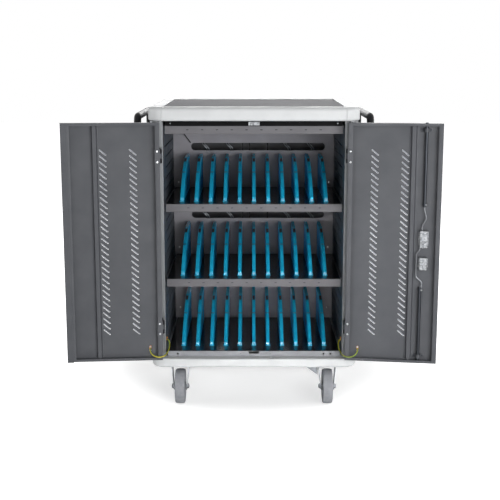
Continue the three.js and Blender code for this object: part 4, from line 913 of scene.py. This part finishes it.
def shelf(level, front, top, lip, marks, node):
    bm = bmesh.new()
    tray_sheet(bm, front, top, lip, marks)
    paint = SILL_PAINT if level == "floor" else TRAY_PAINT
    piece(f"tray_{level}", bm, "cabinet", paint, [node], None, SHEET, 1.2)
    bm = bmesh.new()
    slab(bm, -295, 295, front + 4, 493, top - 0.8, top)
    piece(f"tray_liner_{level}", bm, "cabinet", LINER)
    bm = bmesh.new()
    for i in range(BAYS + 1):
        divider(bm, (i - BAYS / 2) * BAY_PITCH, top)
    bmesh.ops.recalc_face_normals(bm, faces=bm.faces)
    soften(bm, 1.5, 3)
    piece(f"dividers_{level}", bm, "cabinet", BLUE_ABS, (), None, 0, 0, 40)
    bm = bmesh.new()
    for i in range(BAYS + 1):
        divider_panel(bm, (i - BAYS / 2) * BAY_PITCH, top)
    piece(f"divider_panels_{level}", bm, "cabinet", PAINTED_LIGHT_ABS)
    bm = bmesh.new()
    for i in range(BAYS + 1):
        divider_painted_shade(bm, (i - BAYS / 2) * BAY_PITCH, top)
    piece(f"divider_painted_shade_{level}", bm, "cabinet", PAINTED_SHADE_ABS)
    bm = bmesh.new()
    for i in range(BAYS + 1):
        divider_clip(bm, (i - BAYS / 2) * BAY_PITCH, top)
    soften(bm, 0.8, 2)
    piece(f"divider_clips_{level}", bm, "cabinet", BLACK_NYLON)


def bay_marks(top, lip):
    return [long_hole((i - (BAYS - 1) / 2) * BAY_PITCH, top - lip / 2, 8.5, 2.2) for i in range(BAYS)]


shelf("upper", 46, 710, 27, bay_marks(710, 27), "shelf_upper")
shelf("middle", 46, 452, 27, bay_marks(452, 27), "shelf_lower")
shelf("floor", 36, 200, 18, [rect(-17, 17, 190.5, 198), round_hole(-262, 190, 3.4), round_hole(240, 190, 3.4),
                             round_hole(264, 190, 3.4)], "floor_tray")

# Ceiling tray with the black header above it, its catch plate and end screws
bm = bmesh.new()
tray_sheet(bm, 46, 972, 27, bay_marks(972, 27))
piece("ceiling_sheet", bm, "cabinet", TRAY_PAINT, ["ceiling_tray"], None, SHEET, 1.2)
bm = bmesh.new()
# Painted shade: black strips behind the bay marks, seen dark through them.
for level in (710, 452, 972):
    slab(bm, -250, 250, 48, 49.2, level - 17.5, level - 9.5)
piece("bay_mark_painted_shade", bm, "cabinet", HEADER_BLACK)
bm = bmesh.new()
slab(bm, -295, 295, 46.5, 48.5, 970.5, 989)
soften(bm, 0.4, 2)
piece("header_strip", bm, "cabinet", HEADER_BLACK)
bm = bmesh.new()
slab(bm, -18.5, 18.5, 44.5, 46.5, 973, 985.5)
soften(bm, 0.6, 2)
slab(bm, -12, 12, 43.4, 44.8, 977, 981.5)
piece("catch", bm, "cabinet", CAST_ZINC, ["catch_plate"])
bm = bmesh.new()
for x in (-278, 278):
    screw(bm, (x, 46.4, 979.5), (0, -1, 0), 2.4)
for x in (-10, 10):
    screw(bm, (x, 44.4, 983), (0, -1, 0), 1.8)
for x in (-46, 56):
    screw(bm, (x, 36, 190), (0, -1, 0), 2.6)
piece("header_screws", bm, "cabinet", FORK_ZINC)

# Slotted inner side sheets that carry the trays
for side, sign in (("right", 1), ("left", -1)):
    bm = bmesh.new()
    slots = [long_hole(285, 182 + 30 + (i + 0.5) * 37, 358, 5) for i in range(19)]
    wall(bm, "x", sign * 303.05, rect(75.3, 494.7, 182, 972), slots)
    piece(f"side_rack_{side}", bm, "cabinet", RACK_PAINT, [f"shelf_support_{side}"], None, 1.5)

# Rear partition with its cable slots, cable hooks and a folded hood above the upper slot
bm = bmesh.new()
wall(bm, "y", 496, rect(-303.8, 303.8, 182, 972),
     [long_hole(16, base + 152.5, 504, 29, 0, 8) for base in SHELF_TOPS.values()])
piece("partition_sheet", bm, "cabinet", INNER_PAINT, ["rear_partition"], None, 2.0)
bm = bmesh.new()
hood = [(298, 954), (-292, 954), (-236, 877.6), (298, 877.6)]
wall(bm, "y", 486, hood)
for (x0, z0), (x1, z1) in zip(hood[1:], hood[2:]):
    bm.faces.new([bm.verts.new(p) for p in ((x0, 486, z0), (x1, 486, z1), (x1, 494.2, z1), (x0, 494.2, z0))])
piece("partition_hood", bm, "cabinet", INNER_PAINT, (), None, 1.2, 1.0)
bm = bmesh.new()
# Painted shadow: the black bar along the hood's slanted edge stands for the shadow line beside it.
bar(bm, (-293, 485.8, 954), (-237, 485.8, 877.6), 1.7, None, 10)
for base in SHELF_TOPS.values():
    for x in (-42, -16, 52):
        slab(bm, x - 2.5, x + 2.5, 497.2, 499, base + 136, base + 169)
piece("partition_trim_and_shadow_line", bm, "cabinet", BLACK_NYLON)
bm = bmesh.new()
for x in (-284, 284):
    for z in (240, 478, 728):
        screw(bm, (x, 494.9, z), (0, -1, 0), 3.2)
    for z in (417, 675):
        screw(bm, (math.copysign(302.2, x), 236, z), (-x, 0, 0), 3.2)
piece("inner_screws", bm, "cabinet", ZINC)
bm = bmesh.new()
for base in SHELF_TOPS.values():
    for x in (-185, -177, -95, -87, 121, 129, 209, 217):
        pipe(bm, [(x - 9, 497.5, base + 174), (x - 9, 492, base + 169), (x - 7, 488, base + 163),
                  (x + 7, 488, base + 147), (x + 9, 491, base + 142), (x + 9, 497.5, base + 136)], 2.2, 8)
piece("cable_hooks", bm, "cabinet", FORK_ZINC)


# Power strips on the back of the partition
def power_strip(bm, top):
    half, back, z = 235.0, 539.0, top - 24
    holes = [round_hole((i - 4.5) * 44, z, 17, 24) for i in range(BAYS)]
    wall(bm, "y", back, round_corners(-half, half, top - 48, top, 3, 3), holes)
    rim = on("y", back, round_corners(-half, half, top - 48, top, 3, 3))
    verts = [bm.verts.new(p) for p in rim]
    edges = [bm.edges.new(pair) for pair in zip(verts, verts[1:] + verts[:1])]
    grown = bmesh.ops.extrude_edge_only(bm, edges=edges)["geom"]
    bmesh.ops.translate(bm, vec=(0, -41.8, 0), verts=[v for v in grown if isinstance(v, bmesh.types.BMVert)])
    wall(bm, "y", back - 41.8, round_corners(-half, half, top - 48, top, 3, 3))
    for i in range(BAYS):
        x = (i - 4.5) * 44
        lathe(bm, [(17, back), (17, back - 11), (16, back - 12), (0, back - 12)], (x, 0, z), (0, 1, 0), 24)
        for u in (-4.8, 4.8):
            lathe(bm, [(3.4, back - 11.9), (3.4, back - 10.4), (2.2, back - 10.4), (2.2, back - 11.9),
                       (3.4, back - 11.9)], (x + u, 0, z), (0, 1, 0), 12)


for level, base in SHELF_TOPS.items():
    bm = bmesh.new()
    power_strip(bm, base + 118)
    piece(f"socket_strip_{level}", bm, "cabinet", STRIP_PLASTIC, [f"power_strip_{level}"])
    bm = bmesh.new()
    for i in range(BAYS):
        for step in (-14.6, 14.6):
            z = base + 94 + step
            slab(bm, (i - 4.5) * 44 - 2.2, (i - 4.5) * 44 + 2.2, 528, 537, z - 0.8, z + 0.8)
    piece(f"socket_contacts_{level}", bm, "cabinet", BRASS)

# Mains inlet in the rear base rail: a flange with a shallow well, and the housing behind it
inlet_rim, inlet_well = round_corners(-25, 25, 154, 178, 11.5, 6), round_corners(-13, 13, 158, 174, 3, 3)
bm = bmesh.new()
wall(bm, "y", 643, inlet_rim, [inlet_well])
wall(bm, "y", 640.6, inlet_well)
wall(bm, "y", 640.2, inlet_rim)
skirt(bm, "y", 643, 640.2, inlet_rim)
skirt(bm, "y", 643, 640.6, inlet_well)
slab(bm, -14.5, 14.5, 617.5, 640.3, 156.5, 175.5)
piece("inlet_body", bm, "cabinet", BLACK_NYLON, ["mains_inlet"])
bm = bmesh.new()
for x, z in ((-7, 164), (7, 164), (0, 168.5)):
    slab(bm, x - 1, x + 1, 640.4, 642.6, z - 2, z + 2)
for x in (-19, 19):
    screw(bm, (x, 641.3, 166), (0, 1, 0), 2.6)
piece("inlet_pins", bm, "cabinet", ZINC)

# Rear door with a long knuckled hinge and a cam lock
REAR_LOCK_X, REAR_LOCK_Z = -283.0, 600.0
bm = bmesh.new()
door_sheet(bm, -DOOR_EDGE, [(303.5, 867.5)], slot_columns((178.5, 435.5), 10, SLOT_TILT, 420)
           + [round_hole(REAR_LOCK_X, REAR_LOCK_Z, 9.6)])
piece("rear_door_sheet", bm, "rear_door", PANEL_PAINT, ["rear_door"], "rear", SHEET, 1.4)
for name, body, parity, nodes in (("frame", "cabinet", 0, ["rear_hinge"]), ("door", "rear_door", 1, [])):
    bm = bmesh.new()
    for i in range(15):
        low = 305.5 + i * 560 / 15
        high = low + 560 / 15 - 0.5
        if i % 2 == parity:
            bore = 0 if name == "frame" else 3.2
            knuckle = [(bore, low), (5.0, low), (5.5, low + 0.4), (5.5, high - 0.4), (5.0, high), (bore, high)]
            lathe(bm, knuckle + (knuckle[:1] if bore else []), (HINGE_X, HINGE_Y, 0), (0, 0, 1), 20)
            if name == "frame":
                slab(bm, 311, 316.7, 3.5, 32.7, low, high)
            else:
                slab(bm, 306.2, 308.4, 3.5, 26, low, high)
    if name == "frame":
        slab(bm, 314.4, 316.7, 10, 32.7, 305.5, 865.5)
        bar(bm, (HINGE_X, HINGE_Y, 304.9), (HINGE_X, HINGE_Y, 866.1), 2.9, None, 16)
    piece(f"rear_hinge_{name}_half", bm, body, BLACK_NYLON, nodes, "rear")
bm = bmesh.new()
lathe(bm, [(0, 1.6), (2.4, 1.6), (2.4, 1.1), (11.5, 1.0), (13, 2.2), (13, 4.7), (9, 4.7), (9, 43), (0, 43)],
      (REAR_LOCK_X, 0, REAR_LOCK_Z), (0, 1, 0), 28)
slab(bm, REAR_LOCK_X - 7, REAR_LOCK_X + 7, 38, 41, REAR_LOCK_Z - 30, REAR_LOCK_Z + 7)
bar(bm, (REAR_LOCK_X, 41, REAR_LOCK_Z), (REAR_LOCK_X, 43, REAR_LOCK_Z), 7.5, None, 6)
piece("rear_cam_lock", bm, "rear_lock", ZINC, ["rear_lock"], "rear")

# Side panels with two banks of vents
for side, sign in (("right", 1), ("left", -1)):
    bm = bmesh.new()
    vents = [long_hole(320, centre + (i - 2) * 24, 300, 6) for centre in (320, 850) for i in range(5)]
    wall(bm, "x", sign * 339.2, rect(76.1, 563.9, BASE_TOP, CAP_BOTTOM), vents)
    for y in (76.1, 563.9):
        wall(bm, "y", y, rect(*sorted((sign * 322, sign * 339.2)), BASE_TOP, CAP_BOTTOM))
    piece(f"side_sheet_{side}", bm, "cabinet", PANEL_PAINT, [f"side_panel_{side}"], None, SHEET, 1.4)
    bm = bmesh.new()
    for centre in (320, 850):
        for i in range(5):
            z = centre + (i - 2) * 24 + 3.2
            run(bm, [(340, 172, z), (340, 172, z + 7), (346, 172, z - 8.4), (345.2, 172, z - 9.2)], (0, 296, 0))
    if sign < 0:
        mirror_across(bm)
    piece(f"side_louvres_{side}", bm, "cabinet", PANEL_PAINT)

    # Push handle: one bent tube on two screwed feet
    bm = bmesh.new()
    pipe(bm, [(341, 118, 900), (394, 118, 900), (394, 118, 997.5), (394, 536, 997.5), (394, 536, 900),
              (341, 536, 900)], 12.4, 24, bend=26, smooth=False)
    for y in (118, 536):
        lathe(bm, [(0, 340.2), (24, 340.2), (24, 343.5), (22, 345.9), (16, 347.5), (12.5, 352), (0, 352)], (0, y, 900),
              (1, 0, 0), 32)
    if sign < 0:
        mirror_across(bm)
    piece(f"push_bar_{side}", bm, "cabinet", BLACK_NYLON, [f"push_handle_{side}"])
    bm = bmesh.new()
    for y in (118, 536):
        for step in (-18.6, 18.6):
            screw(bm, (346.6, y, 900 + step), (1, 0, 0), 2.8)
    if sign < 0:
        mirror_across(bm)
    piece(f"push_bar_screws_{side}", bm, "cabinet", ZINC)


# Casters: a bolted plate, a pressed swivel fork, a rubber-tyred wheel and, on two of them, a brake pedal
AXLE_Z = 62.5 * math.cos(math.pi / 16)


def caster_plate(bm, x, y):
    slab(bm, x - 38, x + 38, y - 46, y + 46, 146.6, 149.9)
    soften(bm, 1.0, 2, [v for v in bm.verts if abs(v.co.x - x) < 40 and abs(v.co.y - y) < 50])
    for u in (-29, 29):
        for v in (-36, 36):
            bar(bm, (x + u, y + v, 146.8), (x + u, y + v, 141.5), 6.3, None, 6)


def fork(bm, x, y):
    """Two pressed legs that spread towards the crown, swivel cups and the axle bolt."""
    lathe(bm, [(0, 146.4), (30, 146.4), (31, 144.5), (29, 141.5), (33, 140), (33.5, 137.5), (30, 135.5), (0, 135.5)],
          (x, y, 0), (0, 0, 1), 40)
    leg = [(24, 136.7), (-24, 136.7), (-28, 130)]
    leg += [(-30 - 14 * math.cos(a), AXLE_Z - 14 * math.sin(a)) for a in
            [math.pi * (i / 12) for i in range(13)]]
    leg += [(-14, 74), (18, 122), (24, 130)]
    for sign in (-1, 1):
        spread_by = [8 * (z - AXLE_Z) / (136.7 - AXLE_Z) for u, z in leg]
        verts = run(bm, [(x + sign * (21 + out), y + u, z) for (u, z), out in zip(leg, spread_by)], (3 * sign, 0, 0))
        soften(bm, 0.8, 2, verts)
    verts = slab(bm, x - 32, x + 32, y - 24, y + 24, 133.7, 137.5)
    soften(bm, 1.2, 2, verts)
    centre = (x, y - 30, AXLE_Z)
    bar(bm, (x - 31, *centre[1:]), (x + 31, *centre[1:]), 4.8, None, 16)
    for sign in (-1, 1):
        bar(bm, (x + sign * 24, *centre[1:]), (x + sign * 25.4, *centre[1:]), 10.5, None, 24)
        bar(bm, (x + sign * 25.2, *centre[1:]), (x + sign * 30, *centre[1:]), 8.6, 8.0, 6)


TYRE = [(47.5, -11.5), (54, -16.2), (57, -17), (59.4, -15), (60.7, -9), (AXLE_Z, 0), (60.7, 9), (59.4, 15), (57, 17),
        (54, 16.2), (47.5, 11.5)]
CENTRE = [(5.2, -18.3), (13, -18.3), (15, -16.5), (16, -9), (22, -7), (40, -7), (45, -12.5), (49, -13), (49, 13),
          (45, 12.5), (40, 7), (22, 7), (16, 9), (15, 16.5), (13, 18.3), (5.2, 18.3)]
for corner, x, y in (("front_right", 257, 106), ("front_left", -257, 106), ("rear_right", 257, 534),
                     ("rear_left", -257, 534)):
    bm = bmesh.new()
    caster_plate(bm, x, y)
    piece(f"caster_plate_{corner}", bm, "cabinet", FORK_ZINC)
    bm = bmesh.new()
    fork(bm, x, y)
    piece(f"caster_yoke_{corner}", bm, f"caster_fork_{corner}", FORK_ZINC, [f"caster_fork_{corner}"])
    bm = bmesh.new()
    lathe(bm, TYRE + TYRE[:1], (x, y - 30, AXLE_Z), (1, 0, 0), 64)
    piece(f"caster_tyre_{corner}", bm, f"caster_wheel_{corner}", TREAD, [f"caster_wheel_{corner}"])
    bm = bmesh.new()
    lathe(bm, CENTRE + CENTRE[:1], (x, y - 30, AXLE_Z), (1, 0, 0), 48)
    piece(f"caster_centre_{corner}", bm, f"caster_wheel_{corner}", HUB_PLASTIC)
    if "right" in corner:
        bm = bmesh.new()
        near, far, low, high, half = x - 33.2, x - 99.4, 96.6, 146.8, 12.2
        for edge_y in (-half, half):
            wall(bm, "y", y + edge_y, [(near, low), (near, high), (far, high), (far, high - 2)])
        wall(bm, "x", near, rect(y - half, y + half, low, high))
        wall(bm, "x", far, rect(y - half, y + half, high - 2, high))
        bm.faces.new([bm.verts.new(p) for p in ((far, y - half, high - 2), (far, y + half, high - 2),
                                                (near, y + half, low), (near, y - half, low))])
        piece(f"brake_pedal_{corner}", bm, f"brake_lever_{corner}", FORK_ZINC, [f"brake_lever_{corner}"],
              None, 1.6, 1.2)


# Floor, background and soft studio light
def lamp(name, place, target, width, height, watts, beam=180):
    """A soft box aimed at a point, its beam given in degrees."""
    data = bpy.data.lights.new(name, "AREA")
    data.shape, data.size, data.size_y, data.energy = "RECTANGLE", width, height, watts
    data.spread = math.radians(beam)
    made = bpy.data.objects.new(name, data)
    bpy.context.scene.collection.objects.link(made)
    made.location, made.visible_camera = place, False
    made.rotation_euler = (Vector(target) - Vector(place)).to_track_quat("-Z", "Y").to_euler()


lamp("key", (1.6, -4.5, 1.6), (0, 0, 0.6), 1.6, 1.4, 46)
lamp("front", (1.2, -4.9, 0.47), (0, 0, 0.4), 3.0, 0.9, 82)
lamp("low", (0, -2.4, 0.2), (0, -0.3, 0.08), 0.5, 0.2, 0.25, 24)
lamp("right front", (2.0, -2.8, 1.2), (0.5, -0.3, 0.7), 1.0, 1.0, 20)
lamp("left bay", (-1.6, -3.0, 0.9), (0.25, -0.1, 0.5), 0.5, 0.5, 0.25, 14)
lamp("right", (4.2, 0.6, 1.6), (0, 0, 0.6), 2.2, 2.0, 56)
lamp("left", (-4.2, 0.7, 1.6), (0, 0, 0.6), 2.2, 2.0, 56)
lamp("back", (0.3, 4.4, 1.7), (0, 0, 0.6), 2.4, 2.0, 92)

world = bpy.data.worlds.new("studio")
bpy.context.scene.world = world
world.use_nodes = True
tree = world.node_tree
tree.nodes.clear()
rays = add_node(tree, "ShaderNodeLightPath")
seen = add_node(tree, "ShaderNodeMath", {0: rays.outputs["Is Camera Ray"], 1: rays.outputs["Is Glossy Ray"]}, operation="MAXIMUM")
seen = add_node(tree, "ShaderNodeMath", {0: seen.outputs[0], 1: rays.outputs["Is Transmission Ray"]}, operation="MAXIMUM")
ambient = add_node(tree, "ShaderNodeBackground", {"Color": (1, 1, 1, 1), "Strength": 0.2})
backdrop = add_node(tree, "ShaderNodeBackground", {"Color": (1, 1, 1, 1), "Strength": 1.0})
choice = add_node(tree, "ShaderNodeMixShader", {0: seen.outputs[0], 1: ambient.outputs[0], 2: backdrop.outputs[0]})
add_node(tree, "ShaderNodeOutputWorld", {"Surface": choice.outputs[0]})

bm = bmesh.new()
bmesh.ops.create_grid(bm, x_segments=1, y_segments=1, size=14)
floor_mesh = bpy.data.meshes.new("floor")
bm.to_mesh(floor_mesh)
bm.free()
floor = bpy.data.objects.new("floor", floor_mesh)
bpy.context.scene.collection.objects.link(floor)
floor_paint, tree, shader = new_finish("pale studio floor", Roughness=0.9)
shader.inputs["Base Color"].default_value = (0.9, 0.9, 0.9, 1)
rays = add_node(tree, "ShaderNodeLightPath")
place = add_node(tree, "ShaderNodeTexCoord").outputs["Object"]
# The floor's glow for camera rays drops near the cart: a painted shadow round its footprint, added to the lamps' real
# shadows.
away = add_node(tree, "ShaderNodeVectorMath", {0: place, 1: (0, 0.25, 0)}, operation="DISTANCE")
painted_shadow_fade = add_node(tree, "ShaderNodeMapRange", {0: away.outputs["Value"], 1: 0.4, 2: 0.75, 3: 0.33, 4: 1.0},
                interpolation_type="SMOOTHSTEP")
lift = add_node(tree, "ShaderNodeMath", {0: rays.outputs["Is Camera Ray"], 1: painted_shadow_fade.outputs[0]}, operation="MULTIPLY")
glow = add_node(tree, "ShaderNodeEmission", {"Color": (1, 1, 1, 1), "Strength": lift.outputs[0]})
both = add_node(tree, "ShaderNodeAddShader", {0: shader.outputs[0], 1: glow.outputs[0]})
tree.links.new(both.outputs[0], tree.nodes["Material Output"].inputs["Surface"])
floor_mesh.materials.append(floor_paint)
